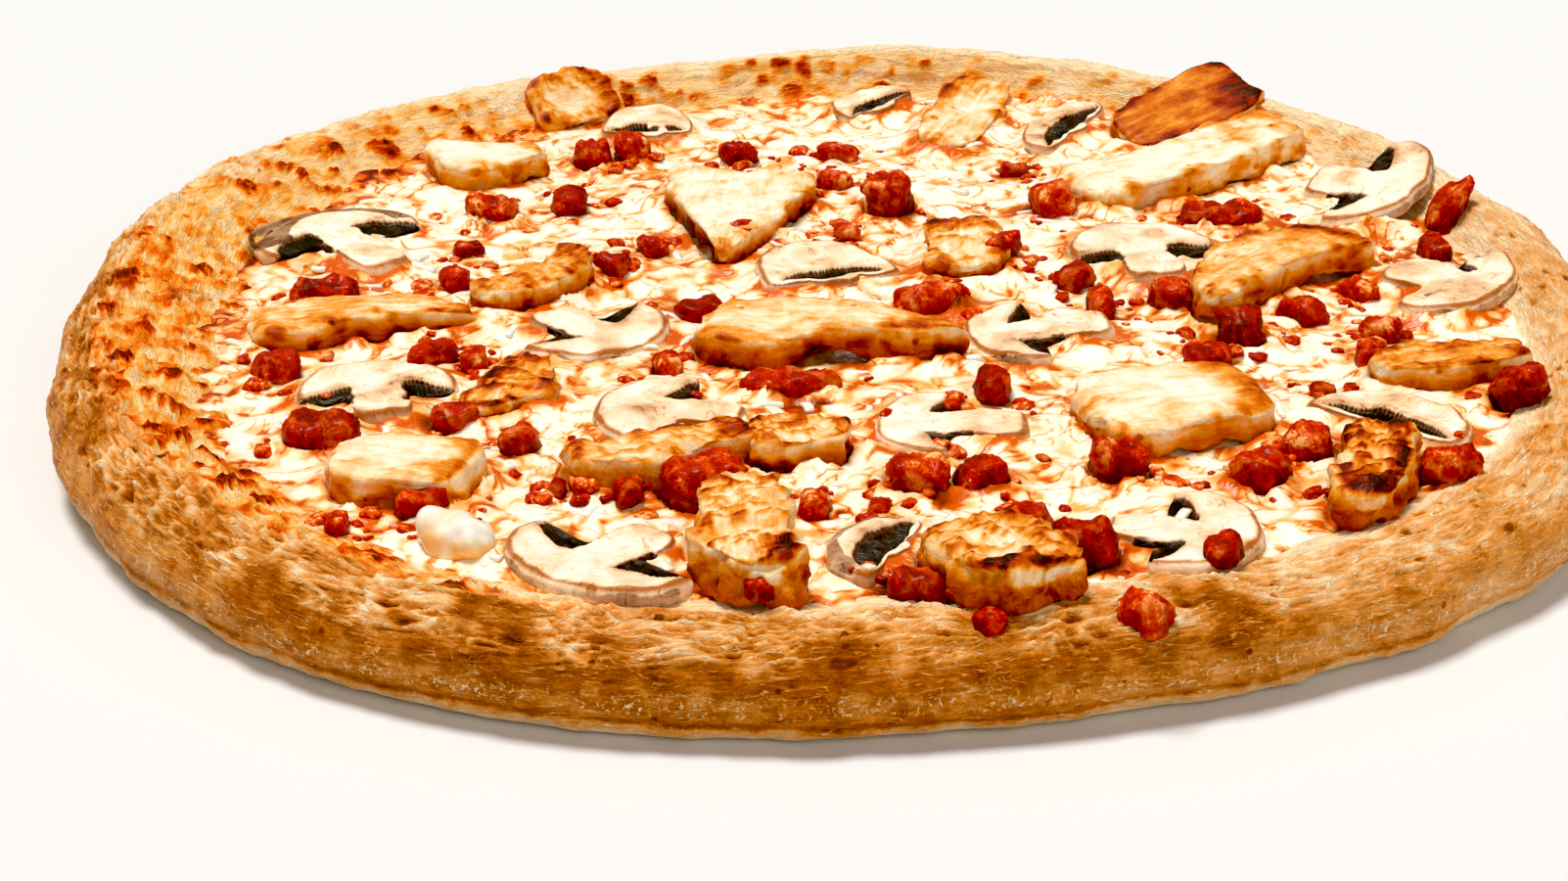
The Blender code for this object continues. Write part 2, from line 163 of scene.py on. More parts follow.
Chicken = namedtuple("Chicken", "name length width height heading taper bend square pitch top side crisp")
Mushroom = namedtuple("Mushroom", "name dome cap_width cap_height stem_width stem_length"
                                  " gill left right skin curl")
Lump = namedtuple("Lump", "name length width height heading")


def named_rows(kind, prefix, rows):
    """Rows of one kind, whose names are the prefix and the row's first word."""
    return [kind(f"{prefix}_{name}", *values) for name, *values in rows]


# taper is the share of the width lost by the far end, bend how far the middle bows sideways, square how full
# the ends are, pitch a lean, top and side the tones of the upper face and the sides, crisp how crumpled it is
CHICKEN = named_rows(Chicken, "chicken", (
    ("centre", 58, 30, 9, -5, 0.85, -2, 2.3, 0, 0.22, 1.0, 0.20),
    ("block_right", 38, 30, 9, 16, 0.15, 0, 4.0, 0, 0.10, 0.60, 0.15),
    ("triangle", 56, 42, 9, -95, 0.85, 0, 4.0, 0, 0.02, 1.10, 0.35),
    ("long_back", 70, 19, 10, 34, 0.1, 2, 5.0, 0, 0.03, 0.25, 0.20),
    ("slab_back", 38, 19, 7, 26, -0.35, 0, 3.5, 4, 0.56, 0.75, 0.0),
    ("strip_left", 49, 18, 8, 13, 0.40, -3, 3.2, 0, 0.26, 1.0, 0.20),
    ("curl_left", 36, 11, 8, 56, 0.1, 3, 3.5, 0, 0.30, 0.95, 0.50),
    ("wedge_left", 28, 19, 10, -14, -0.2, 0, 3.5, 0, 0.10, 0.45, 0.10),
    ("golden_left", 30, 12, 6, 75, -0.2, 2, 3.0, 0, 0.36, 0.80, 0.70),
    ("strip_front", 39, 14, 8, 25, 0.25, 2, 3.0, 0, 0.24, 0.65, 0.60),
    ("chunk_front", 21, 16, 9, 5, 0.35, 0, 2.6, 0, 0.24, 0.95, 0.80),
    ("fold_front", 43, 14, 13, -88, -0.25, 2, 3.0, 0, 0.22, 0.60, 0.90),
    ("fold_right", 34, 21, 11, -66, -0.15, 0, 3.0, 0, 0.24, 0.75, 0.90),
    ("bent_right", 54, 15, 9, 42, -0.2, -4, 3.0, 0, 0.26, 0.65, 0.25),
    ("crisp_right", 38, 13, 9, -103, 0.1, 0, 3.0, 0, 0.40, 0.85, 0.95),
    ("strip_right", 32, 13, 9, 6, 0.2, 0, 3.5, 0, 0.38, 0.80, 0.45),
    ("slab_left", 28, 22, 9, 14, 0.45, 0, 2.8, 0, 0.0, 0.45, 0.10),
    ("slice_back", 50, 17, 6, 71, 0.1, 0, 4.0, 4, 0.16, 0.60, 0.15),
    ("round_middle", 34, 17, 6, 88, 0.0, 0, 3.0, 0, 0.20, 0.75, 0.50),
    ("tan_back", 24, 14, 6, 32, 0.1, 0, 3.0, 4, 0.26, 0.60, 0.50),
))

# dome is the heading of the cap, gill the thickness of the dark gills, left and right how much of them shows
# on each side of the stem, skin how dark and broad the cap's skin is, curl how far the cap's ends rise
MUSHROOMS = named_rows(Mushroom, "mushroom", (
    ("left_large", 127, 44, 20, 13, 24, 6.5, 1.0, 0.6, 1.00, 1.2),
    ("left_front", 102, 36, 16, 13, 14, 4.0, 0.9, 0.9, 0.40, 0.6),
    ("middle_left", -42, 38, 16, 13, 15, 4.0, 0.9, 0.9, 0.45, 0.8),
    ("middle_front", 169, 34, 16, 12, 16, 3.5, 0.2, 1.0, 0.35, 0.6),
    ("front", -132, 44, 15, 14, 16, 4.0, 0.7, 0.8, 0.40, 0.8),
    ("centre_front", 173, 30, 13, 12, 19, 3.5, 0.7, 1.0, 0.40, 0.6),
    ("centre_right", 188, 32, 13, 12, 20, 3.5, 0.9, 0.8, 0.35, 0.6),
    ("centre", 108, 32, 24, 11, 3, 4.0, 1.0, 1.0, 0.40, 0.8),
    ("right_middle", 99, 36, 20, 14, 17, 3.5, 1.0, 1.0, 0.40, 0.8),
    ("right_back", -35, 40, 14, 15, 15, 3.5, 0.9, 0.6, 0.50, 0.8),
    ("right", -46, 36, 13, 14, 17, 2.5, 0.4, 0.3, 0.50, 0.8),
    ("right_curved", 50, 36, 15, 10, 2, 4.5, 0.9, 0.9, 0.50, 0.8),
    ("front_right", -15, 38, 16, 13, 14, 4.0, 1.0, 0.7, 0.40, 0.8),
    ("front_grey", 157, 30, 12, 8, 3, 6.5, 1.0, 1.0, 0.85, 1.0),
    ("back_long", 151, 38, 11, 8, 2, 5.0, 1.0, 1.0, 0.45, 0.8),
    ("back_left", 92, 24, 17, 9, 2, 3.5, 1.0, 0.5, 0.50, 0.8),
    ("back", 131, 24, 12, 9, 2, 3.5, 0.9, 0.9, 0.50, 0.8),
))

BACON = named_rows(Lump, "bacon", (
    ("01", 15, 11, 9, 0), ("02", 16, 11, 10, 20), ("03", 13, 10, 9, -5), ("04", 10, 9, 8, 30),
    ("05", 20, 9, 8, -12), ("06", 18, 10, 8, 30), ("07", 21, 8, 7, 3), ("08", 15, 8, 8, 10),
    ("09", 12, 9, 8, -15), ("10", 11, 11, 11, 0), ("11", 11, 10, 10, 10), ("12", 11, 9, 9, 20),
    ("13", 10, 9, 9, 0), ("14", 11, 9, 9, 40), ("15", 10, 9, 9, 0), ("16", 12, 8, 8, 10),
    ("17", 10, 9, 9, 50), ("18", 10, 9, 10, 0), ("19", 9, 9, 9, -10), ("20", 9, 9, 9, 20),
))

CHEESE_LUMP = Lump("cheese_lump", 14, 10, 9, -35)

# Small bits of bacon on the cheese and the rim: x, y, width
BACON_BITS = (
    (-62, 67, 10), (4, 103, 9), (5, 43, 7), (-50, 23, 9), (-41, 36, 8), (-35, -36, 8), (-85, 15, 8),
    (-84, 37, 6), (-86, -27, 10), (-77, -30, 8), (-78, -62, 9), (-64, -73, 9), (-96, -112, 6), (-80, -106, 9),
    (-55, -96, 5), (-41, -100, 8), (-5, -106, 8), (35, -114, 9), (33, -51, 9), (41, 26, 8), (76, 0, 10),
    (80, -34, 9), (140, 24, 9), (119, -24, 9), (114, -38, 9), (101, -55, 6), (69, -137, 8), (52, -158, 9),
    (25, -160, 6), (13, -144, 10), (-15, -148, 6), (119, 3, 9), (104, -11, 11), (-29, -4, 10), (-20, 36, 9),
    (55, 60, 12), (48, 89, 7), (-21, 100, 9), (3, 80, 9), (-118, -37, 11), (56, 12, 9), (60, -5, 9),
)

# Endings of the names of the toppings' finished pieces
TOPPING_ENDINGS = ("_cooked", "_sliced", "_fried")

# How far each kind of topping is sunk below its solid's underside, in millimetres
SUPPORT_SINK = {"chicken": 2.9, "mushroom": 1.8, "bacon": 2.6, "cheese_lump": 2.8}


def waves(angle, terms):
    """Sum over the terms (millimetres, turns, phase) of millimetres * cos(turns * angle - phase)."""
    return sum(size * MM * np.cos(turns * angle - np.radians(phase)) for size, turns, phase in terms)


def ripple(x, y, length, seed, count=7):
    """Smooth noise between about -1 and 1: plane waves of about the given length in random directions."""
    draw = np.random.default_rng(seed)
    total = 0.0
    for _ in range(count):
        heading, phase = draw.uniform(0, 2 * np.pi, 2)
        pitch = 2 * np.pi / (length * draw.uniform(0.7, 1.5))
        total = total + np.cos(pitch * (x * np.cos(heading) + y * np.sin(heading)) + phase)
    return total / np.sqrt(count)


def smooth_step(low, high, value):
    """0 below low, 1 above high, and 3t^2 - 2t^3 between them."""
    t = np.clip((value - low) / (high - low), 0, 1)
    return t * t * (3 - 2 * t)


def swell(angle, middle, power):
    """1 in the direction of middle, in degrees, falling to 0 a quarter turn away."""
    return np.clip(np.cos(angle - np.radians(middle)), 0, 1) ** power


def gradient_noise(points, size, seed):
    """Noise from about -1 to 1: random slopes at the corners of a cubic lattice, mixed smoothly between."""
    count = 32
    slopes = np.random.default_rng(seed).normal(size=(count, count, count, 3))
    slopes /= np.linalg.norm(slopes, axis=-1, keepdims=True)
    scaled = points / size
    cell = np.floor(scaled).astype(int)
    inside = scaled - cell
    blend = inside ** 3 * (inside * (inside * 6 - 15) + 10)
    total = np.zeros(points.shape[:-1])
    for corner in np.ndindex(2, 2, 2):
        index = np.moveaxis((cell + corner) % count, -1, 0)
        weight = np.prod(np.where(corner, blend, 1 - blend), axis=-1)
        total += weight * (slopes[tuple(index)] * (inside - corner)).sum(axis=-1)
    return total * 1.6


def layered_noise(points, size, seed, layers=3):
    """Gradient noise with finer layers added, each of half the size and half the height of the one before."""
    total = 0.0
    for layer in range(layers):
        total = total + gradient_noise(points, size / 2 ** layer, seed + layer) / 2 ** layer
    return total


def pattern(points, row):
    """Layered noise with the size, seed and layers of a row."""
    return layered_noise(points, row.size * MM, row.seed, row.layers)


def cell_noise(points, size, seed):
    """One random point in each lattice cell: distances to the nearest two, and the nearest one's number."""
    count = 32
    draw = np.random.default_rng(seed)
    place = draw.uniform(0, 1, (count, count, count, 3))
    number = draw.uniform(0, 1, (count, count, count))
    scaled = points / size
    cell = np.floor(scaled).astype(int)
    nearest = np.full(points.shape[:-1], 9.0)
    second = nearest.copy()
    owner = np.zeros(points.shape[:-1])
    for step in np.ndindex(3, 3, 3):
        near = cell + step - np.array((1, 1, 1))
        index = tuple(np.moveaxis(near % count, -1, 0))
        distance = np.linalg.norm(near + place[index] - scaled, axis=-1)
        closer = distance < nearest
        second = np.where(closer, nearest, np.minimum(second, distance))
        owner = np.where(closer, number[index], owner)
        nearest = np.where(closer, distance, nearest)
    return nearest, second, owner


def ring_faces(ring_count, side_count):
    """Faces of a tube of closed rings, each end drawn together to one point after the rings' points."""
    ring = np.arange(ring_count - 1)[:, None] * side_count
    above = ring + side_count
    side = np.arange(side_count)
    following = (side + 1) % side_count
    quads = np.stack([ring + side, ring + following, above + following, above + side], axis=-1)
    first = ring_count * side_count
    last_ring = first - side_count
    start = np.stack([np.full(side_count, first), following, side], axis=-1)
    end = np.stack([np.full(side_count, first + 1), last_ring + side, last_ring + following], axis=-1)
    return quads.reshape(-1, 4), np.concatenate([start, end])


def ring_normals(rings):
    """Unit normals of a grid of closed rings, from the steps along and across it."""
    around = np.roll(rings, -1, axis=1) - np.roll(rings, 1, axis=1)
    along = np.gradient(rings, axis=0)
    normal = np.cross(around, along)
    return normal / np.maximum(np.linalg.norm(normal, axis=-1, keepdims=True), 1e-12)


def close_rings(rings):
    """The rings' points followed by the middle points of the first and last ring."""
    ends = [rings[0].mean(axis=0), rings[-1].mean(axis=0)]
    return np.concatenate([rings.reshape(-1, rings.shape[-1]), ends])


def link_object(name, data):
    """A new object of the data, in the scene."""
    made = bpy.data.objects.new(name, data)
    bpy.context.scene.collection.objects.link(made)
    return made


def make_piece(name, points, quads, triangles, material, fields, slot, replaced=()):
    """Makes one closed piece that rides on the pizza, with its tone, blend and strand attributes."""
    tone, blend, strand = fields
    mesh = bpy.data.meshes.new(name)
    mesh.from_pydata(points, [], quads.tolist() + triangles.tolist())
    mesh.shade_smooth()
    mesh.materials.append(material)
    for field, values in (("tone", tone), ("blend", blend)):
        data = mesh.attributes.new(field, "FLOAT", "POINT").data
        data.foreach_set("value", np.clip(values, 0, 1).astype(np.float32))
    data = mesh.attributes.new("strand", "FLOAT_VECTOR", "POINT").data
    data.foreach_set("vector", strand.astype(np.float32).ravel())
    if mesh.validate():
        raise RuntimeError(f"{name} has faulty faces")
    piece = link_object(name, mesh)
    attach(piece, "root")
    if replaced:
        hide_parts(*replaced)
    return piece


def close_fields(fields):
    """Tone, blend and strand on a grid of rings as lists for its points and the two middle points."""
    tone, blend, strand = fields
    return close_rings(tone[..., None])[:, 0], close_rings(blend[..., None])[:, 0], close_rings(strand)


def make_ring_piece(name, rings, material, fields, slot, replaced):
    """Makes a piece from a grid of closed rings with its tone, blend and strand on the same grid."""
    faces = ring_faces(rings.shape[0], rings.shape[1])
    return make_piece(name, close_rings(rings), *faces, material, close_fields(fields), slot, replaced)


def node_centre(name):
    """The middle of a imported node's box, and its lowest height."""
    low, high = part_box(name)
    return (low.x + high.x) / 2, (low.y + high.y) / 2, low.z


def outer_radius(sizes, angle):
    """Widest radius of the crust at an angle."""
    return sizes.mean_radius + waves(angle, OUTLINE_WAVES)


def rim_height(sizes, angle):
    """Height of the crust's crest at an angle."""
    return sizes.rim_height + waves(angle, RIM_WAVES)


def cheese_radius(sizes, angle):
    """Radius where the cheese meets the rim; the rim's inner slope is wider on the left and at the front."""
    left = sizes.left_slope_extra * swell(angle, LEFT_SLOPE_ANGLE, 3)
    front = sizes.front_slope_extra * swell(angle, FRONT_SLOPE_ANGLE, 2)
    return outer_radius(sizes, angle) - sizes.crest_inset - sizes.slope_width - left - front


def slope_height(sizes, angle, radius):
    """Height of the rim's inner slope: half a cosine wave from the crest down to the ledge."""
    crest = outer_radius(sizes, angle) - sizes.crest_inset
    foot = cheese_radius(sizes, angle)
    t = np.clip((crest - radius) / (crest - foot), 0, 1)
    fall = rim_height(sizes, angle) - sizes.ledge_height
    return sizes.ledge_height + fall * (0.5 + 0.5 * np.cos(np.pi * t))


def cheese_height(sizes, x, y):
    """Mean height of the cheese: level, gently rippled, and rising to the ledge near its edge."""
    angle = np.arctan2(y, x)
    near_edge = smooth_step(0.86, 1.0, np.hypot(x, y) / cheese_radius(sizes, angle))
    inside = sizes.cheese_level + 0.5 * MM * ripple(x, y, 38 * MM, seed=3)
    return inside + (sizes.ledge_height - 0.35 * MM - inside) * near_edge


def support_height(sizes, x, y):
    """Height of what a topping lies on: the cheese, or the rim beyond it."""
    angle = np.arctan2(y, x)
    radius = np.hypot(x, y)
    on_rim = slope_height(sizes, angle, radius)
    return np.where(radius < cheese_radius(sizes, angle), cheese_height(sizes, x, y), on_rim)


def lean_on_support(sizes, points):
    """Adds to the heights the plane that best fits the support under the points."""
    flat = points.reshape(-1, 3)
    level = support_height(sizes, flat[:, 0], flat[:, 1])
    plane = np.stack([flat[:, 0], flat[:, 1], np.ones(len(flat))], axis=-1)
    leaned = flat.copy()
    leaned[:, 2] += plane @ np.linalg.lstsq(plane, level, rcond=None)[0]
    return leaned.reshape(points.shape)


def set_down(sizes, points, name, sink):
    """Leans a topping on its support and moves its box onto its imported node's, a little sunk in."""
    x, y, z = node_centre(name)
    flat = points.reshape(-1, 3)
    middle = (flat[:, :2].min(axis=0) + flat[:, :2].max(axis=0)) / 2
    placed = points + np.array((x - middle[0], y - middle[1], 0))
    leaned = lean_on_support(sizes, placed)
    leaned[..., 2] += z - sink * MM - leaned[..., 2].min()
    return leaned


def turned(points, heading):
    """Points turned about Z by a heading in degrees."""
    turn = np.radians(heading)
    x = points[..., 0] * np.cos(turn) - points[..., 1] * np.sin(turn)
    y = points[..., 0] * np.sin(turn) + points[..., 1] * np.cos(turn)
    return np.stack([x, y, points[..., 2]], axis=-1)


def add_node(tree, kind, **inputs):
    """Adds a shader node and sets or links its inputs by name, or by number after the letters 'in'."""
    node = tree.nodes.new(kind)
    for key, value in inputs.items():
        numbered = key[:2] == "in" and key[2:].isdigit()
        socket = node.inputs[int(key[2:]) if numbered else key.replace("_", " ")]
        if isinstance(value, bpy.types.NodeSocket):
            tree.links.new(value, socket)
        else:
            socket.default_value = value
    return node


def math_node(tree, operation, first, second=0.5, third=None):
    """A Math node's output for two or three inputs."""
    inputs = {"in0": first, "in1": second}
    if third is not None:
        inputs["in2"] = third
    node = add_node(tree, "ShaderNodeMath", **inputs)
    node.operation = operation
    return node.outputs[0]


def centred(tree, value):
    """A pattern less a half, so that it lies about 0."""
    return math_node(tree, "SUBTRACT", value)


def times_plus(tree, first, second, third):
    """first * second + third."""
    return math_node(tree, "MULTIPLY_ADD", first, second, third)


def noise_node(tree, vector, size, detail, distortion=0.0):
    """A Noise texture whose features are about size metres, from 0 to 1."""
    node = add_node(tree, "ShaderNodeTexNoise", Vector=vector, Scale=1 / size, Detail=detail, Roughness=0.6)
    node.inputs["Distortion"].default_value = distortion
    return node.outputs[0]


def linear(colour):
    """An sRGB colour of 0 to 255 as linear values."""
    value = np.array(colour) / 255
    return tuple(np.where(value <= 0.04045, value / 12.92, ((value + 0.055) / 1.055) ** 2.4))


def threshold(tree, value, low, high, start=0.0, end=1.0):
    """A clamped Map Range: start at low, end at high."""
    return add_node(tree, "ShaderNodeMapRange", in0=value, in1=low, in2=high, in3=start, in4=end).outputs[0]


def colour_ramp(tree, value, stops):
    """A colour ramp through the stops (place, linear colour)."""
    ramp = tree.nodes.new("ShaderNodeValToRGB")
    elements = ramp.color_ramp.elements
    while len(elements) < len(stops):
        elements.new(0.5)
    for element, (place, colour) in zip(elements, stops):
        element.position = place
        element.color = (*colour, 1.0)
    tree.links.new(value, ramp.inputs["Fac"])
    return ramp.outputs["Color"]


def attribute(tree, name, output):
    """An output of the mesh attribute with the name."""
    node = tree.nodes.new("ShaderNodeAttribute")
    node.attribute_name = name
    return node.outputs[output]


def add_lines(tree, tone, height, lines, position, fibres, mottling):
    """Thin wavy lines where a noise is near a half: dark and sunken, or pale and raised along the fibres."""
    amount, spacing, width = lines
    vector, size = (fibres, spacing) if amount < 0 else (position, spacing * MM)
    folds = noise_node(tree, vector, size, 2.0, 1.5)
    away = math_node(tree, "ABSOLUTE", centred(tree, folds))
    line = threshold(tree, away, 0.0, width, 1.0, 0.0)
    shown = threshold(tree, mottling, 0.40, 0.58, 0.15 * amount, amount)
    return times_plus(tree, line, shown, tone), times_plus(tree, line, -0.7 * np.sign(amount), height)


def add_spots(tree, tone, height, spots, position):
    """Sunken round spots in about half of the cells of a Voronoi pattern, each with a radius of its own."""
    amount, spacing, width = spots
    cells = add_node(tree, "ShaderNodeTexVoronoi", Vector=position, Scale=1 / (spacing * MM))
    chosen = add_node(tree, "ShaderNodeSeparateColor", in0=cells.outputs["Color"]).outputs[0]
    radius = threshold(tree, chosen, 0.45, 1.0, 0.0, width * 1.6)
    inside = math_node(tree, "SUBTRACT", radius, cells.outputs["Distance"])
    spot = threshold(tree, inside, 0.0, 0.06)
    return times_plus(tree, spot, amount, tone), times_plus(tree, spot, -0.8, height)


def add_painted_glints(tree, tone, height, glint_band, position, mottling):
    """Painted glints: pale raised specks, in patches, in a band between two heights, standing in for glossy
    sparkles.
    """
    low, high = glint_band
    level = add_node(tree, "ShaderNodeSeparateXYZ", Vector=position).outputs["Z"]
    above = threshold(tree, level, low * MM, (low + 1) * MM)
    band = math_node(tree, "MULTIPLY", above, threshold(tree, level, high * MM, (high - 2.5) * MM))
    glint = threshold(tree, noise_node(tree, position, 0.9 * MM, 2.0), 0.54, 0.66)
    glint = math_node(tree, "MULTIPLY", glint, band)
    glint = math_node(tree, "MULTIPLY", glint, threshold(tree, mottling, 0.35, 0.6))
    return times_plus(tree, glint, -0.85, tone), times_plus(tree, glint, 0.6, height)


def food_material(name, plain, baked, mottle, strands, roughness, bump, grain=(0.1, 0.6), lines=None,
                  spots=None, glint_band=None, specular=0.35, coat=0.0, subsurface=0.0):
    """A food surface whose tone picks a colour from the plain stops, or from the baked ones where browned.

    mottle and grain vary the tone by an amount at a size in millimetres, mottle with its detail too, and
    strands varies it along the food's fibres. lines adds an amount along thin wavy lines, and spots in
    scattered round spots, each with its spacing in millimetres and its width. A negative amount of lines
    makes pale ones that run along the fibres. glint_band gives two heights in millimetres between which
    pale specks are painted as glints.
    """
    material = bpy.data.materials.new(name)
    material.use_nodes = True
    tree = material.node_tree
    position = add_node(tree, "ShaderNodeTexCoord").outputs["Object"]
    fibres = attribute(tree, "strand", "Vector")
    mottling = noise_node(tree, position, mottle[1] * MM, mottle[2], 0.8)
    grains = noise_node(tree, position, grain[1] * MM, 3.0)
    strand = noise_node(tree, fibres, 1.0, 3.0, 0.8)
    tone = attribute(tree, "tone", "Fac")
    for noise, amount in ((mottling, mottle[0]), (grains, grain[0]), (strand, strands)):
        tone = times_plus(tree, centred(tree, noise), amount * 2, tone)
    height = times_plus(tree, strand, 0.9, math_node(tree, "MULTIPLY", grains, 0.5))
    height = times_plus(tree, mottling, 1.0, height)
    if lines:
        tone, height = add_lines(tree, tone, height, lines, position, fibres, mottling)
    if spots:
        tone, height = add_spots(tree, tone, height, spots, position)
    if glint_band:
        tone, height = add_painted_glints(tree, tone, height, glint_band, position, mottling)
    share = times_plus(tree, centred(tree, mottling), 1.2, attribute(tree, "blend", "Fac"))
    mix = tree.nodes.new("ShaderNodeMix")
    mix.data_type = "RGBA"
    tree.links.new(threshold(tree, share, 0.3, 0.7), mix.inputs["Factor"])
    tree.links.new(colour_ramp(tree, tone, plain), mix.inputs["A"])
    tree.links.new(colour_ramp(tree, tone, baked), mix.inputs["B"])
    relief = add_node(tree, "ShaderNodeBump", Height=height, Strength=bump, Distance=BUMP_DISTANCE)
    shader = tree.nodes["Principled BSDF"]
    tree.links.new(mix.outputs["Result"], shader.inputs["Base Color"])
    tree.links.new(threshold(tree, mottling, 0.3, 0.7, *roughness), shader.inputs["Roughness"])
    tree.links.new(relief.outputs[0], shader.inputs["Normal"])
    values = {"Specular IOR Level": specular, "Specular Tint": SPECULAR_TINT, "Coat Weight": coat,
              "Coat Roughness": COAT_ROUGHNESS, "Subsurface Weight": subsurface,
              "Subsurface Radius": SUBSURFACE_RADIUS, "Subsurface Scale": SUBSURFACE_SCALE}
    for key, value in values.items():
        shader.inputs[key].default_value = value
    return material


def crust_rings(sizes, angle):
    """The crust's section at each angle: flat below, two quarter ellipses up to the crest, inner slope."""
    level = np.zeros_like(angle)
    widest = outer_radius(sizes, angle)
    height = rim_height(sizes, angle)
    foot = cheese_radius(sizes, angle)
    contact = widest - sizes.undercut
    crest = widest - sizes.crest_inset
    rows = []
    zones = []
    for part in np.linspace(0.2, 1, CRUST_ROWS["under"]):
        rows.append((contact * part, level))
        zones.append(-1.0)
    for turn in np.linspace(-90, 0, CRUST_ROWS["lower"] + 1)[1:]:
        up = np.radians(turn)
        rows.append((contact + sizes.undercut * np.cos(up), level + sizes.belly_height * (1 + np.sin(up))))
        zones.append(turn / 90)
    for turn in np.linspace(0, 90, CRUST_ROWS["upper"] + 1)[1:]:
        up = np.radians(turn)
        across = crest + sizes.crest_inset * np.cos(up)
        rows.append((across, sizes.belly_height + (height - sizes.belly_height) * np.sin(up)))
        zones.append(turn / 90)
    for part in np.linspace(0, 1, CRUST_ROWS["slope"] + 1)[1:]:
        radius = crest + (foot - crest) * part
        rows.append((radius, slope_height(sizes, angle, radius)))
        zones.append(1 + part)
    for part in np.linspace(0, 1, CRUST_ROWS["inside"]):
        rows.append((foot * (0.97 - 0.6 * part), level + sizes.floor_height + (1 - part) * 4 * MM))
        zones.append(2.2)
    radius = np.array([row[0] for row in rows])
    up = np.array([row[1] for row in rows])
    return np.stack([radius * np.cos(angle), radius * np.sin(angle), up], axis=-1), np.array(zones)[:, None]


def map_cells(x, y):
    """Row and column of places on a map of the pizza with cells of one millimetre."""
    return tuple(np.clip(np.round(value / MM + MAP_HALF).astype(int), 0, MAP_SIDE - 1) for value in (x, y))


def height_map(point_sets):
    """A map of the greatest height of the points in each cell and its neighbours, 0 where there are none."""
    heights = np.zeros((MAP_SIDE, MAP_SIDE))
    for points in point_sets:
        np.maximum.at(heights, map_cells(points[:, 0], points[:, 1]), points[:, 2])
    gaps = heights == 0
    around = np.maximum.reduce([np.roll(heights, step, axis) for step in (-1, 1) for axis in (0, 1)])
    closed = np.minimum.reduce([np.roll(heights, step, 0) for step in (-1, 1)]) > 0
    return np.where(gaps & closed, around, heights)


def spread(heights, reach):
    """For each cell the distance in cells to the nearest filled one within reach, and that one's height."""
    distance = np.full(heights.shape, reach + 1.0)
    height = np.zeros(heights.shape)
    for step in np.ndindex(2 * reach + 1, 2 * reach + 1):
        move = (step[0] - reach, step[1] - reach)
        shifted = np.roll(heights, move, axis=(0, 1))
        closer = (shifted > 0) & (np.hypot(*move) < distance)
        distance = np.where(closer, np.hypot(*move), distance)
        height = np.where(closer, shifted, height)
    return distance, height


def sample(values, x, y):
    """Values of a map at places, mixed from the four cells round each."""
    column = np.clip(x / MM + MAP_HALF, 0, MAP_SIDE - 1.001)
    row = np.clip(y / MM + MAP_HALF, 0, MAP_SIDE - 1.001)
    i, j = column.astype(int), row.astype(int)
    s, t = column - i, row - j
    near = values[i, j] * (1 - s) + values[i + 1, j] * s
    far = values[i, j + 1] * (1 - s) + values[i + 1, j + 1] * s
    return near * (1 - t) + far * t


def blurred(values, passes):
    """A map with each cell mixed with its four neighbours, over and over."""
    for _ in range(passes):
        sides = sum(np.roll(values, step, axis) for step in (-1, 1) for axis in (0, 1))
        values = 0.5 * values + 0.125 * sides
    return values


def piece_points(words):
    """The points of every piece made so far whose name ends with one of the words."""
    sets = []
    for piece in bpy.data.objects:
        if piece.type == "MESH" and piece.name.endswith(words):
            values = np.empty(3 * len(piece.data.vertices), np.float32)
            piece.data.vertices.foreach_get("co", values)
            sets.append(values.reshape(-1, 3).astype(float))
    return sets


def bacon_grease(x, y):
    """1 beside bacon and 0 away from it, where its grease colours the cheese."""
    total = np.zeros(np.shape(x))
    for bit_x, bit_y, width in BACON_BITS:
        away = np.hypot(x - bit_x * MM, y - bit_y * MM)
        total = np.maximum(total, np.exp(-(away / (width * 0.8 * MM)) ** 2))
    for piece in BACON:
        centre_x, centre_y, _ = node_centre(piece.name)
        away = np.hypot(x - centre_x, y - centre_y)
        total = np.maximum(total, np.exp(-(away / (piece.length * 0.7 * MM)) ** 2))
    return total


def crust_zones(zone):
    """Shares, from 0 to 1, of the crust's outside, its wall, its crest and its inner slope."""
    outside = smooth_step(-0.95, -0.6, zone) * (1 - smooth_step(1.9, 2.1, zone))
    wall = smooth_step(-0.9, -0.4, zone) * (1 - smooth_step(0.30, 0.62, zone))
    crest = smooth_step(0.30, 0.62, zone) * (1 - smooth_step(1.5, 1.9, zone))
    slope = smooth_step(1.0, 1.3, zone) * (1 - smooth_step(1.95, 2.1, zone))
    return outside, wall, crest, slope


def crust_strands(rings, arc):
    """Broad and thin wavy strands round the rim, where warped noise is near 0, and the warp itself."""
    warp = np.stack([gradient_noise(rings, WARP_SIZE * MM, seed) for seed in (21, 22, 23)], axis=-1)
    along, across = STRAND_SPACING
    strand = np.concatenate([rings[..., :2] / (along * MM), arc / (across * MM)], axis=-1)
    broad = 1 - smooth_step(0.0, 0.26, np.abs(gradient_noise(strand + 0.7 * warp, 1.0, 24)))
    thin = 1 - smooth_step(0.0, 0.28, np.abs(gradient_noise(strand * 1.9 + 1.0 * warp, 1.0, 25)))
    return broad, thin, warp


def crust_pits(rings, arc, warp):
    """Round pits and blisters: the middles of warped cells, each with a size of its own."""
    pit_space = np.concatenate([rings[..., :2] / 1.7, arc], axis=-1) + 0.6 * MM * warp
    near, _, number = cell_noise(pit_space, PIT_SPACING * MM, 27)
    pits = smooth_step(0.12 + 0.28 * number, 0.05, near) * (number > 0.40)
    near, _, number = cell_noise(rings * (1, 1, 1.2) + 1.2 * MM * warp, BLISTER_SPACING * MM, 28)
    size = 0.16 + 0.36 * number
    return pits, smooth_step(size, size - 0.10, near) * (number > 0.25)


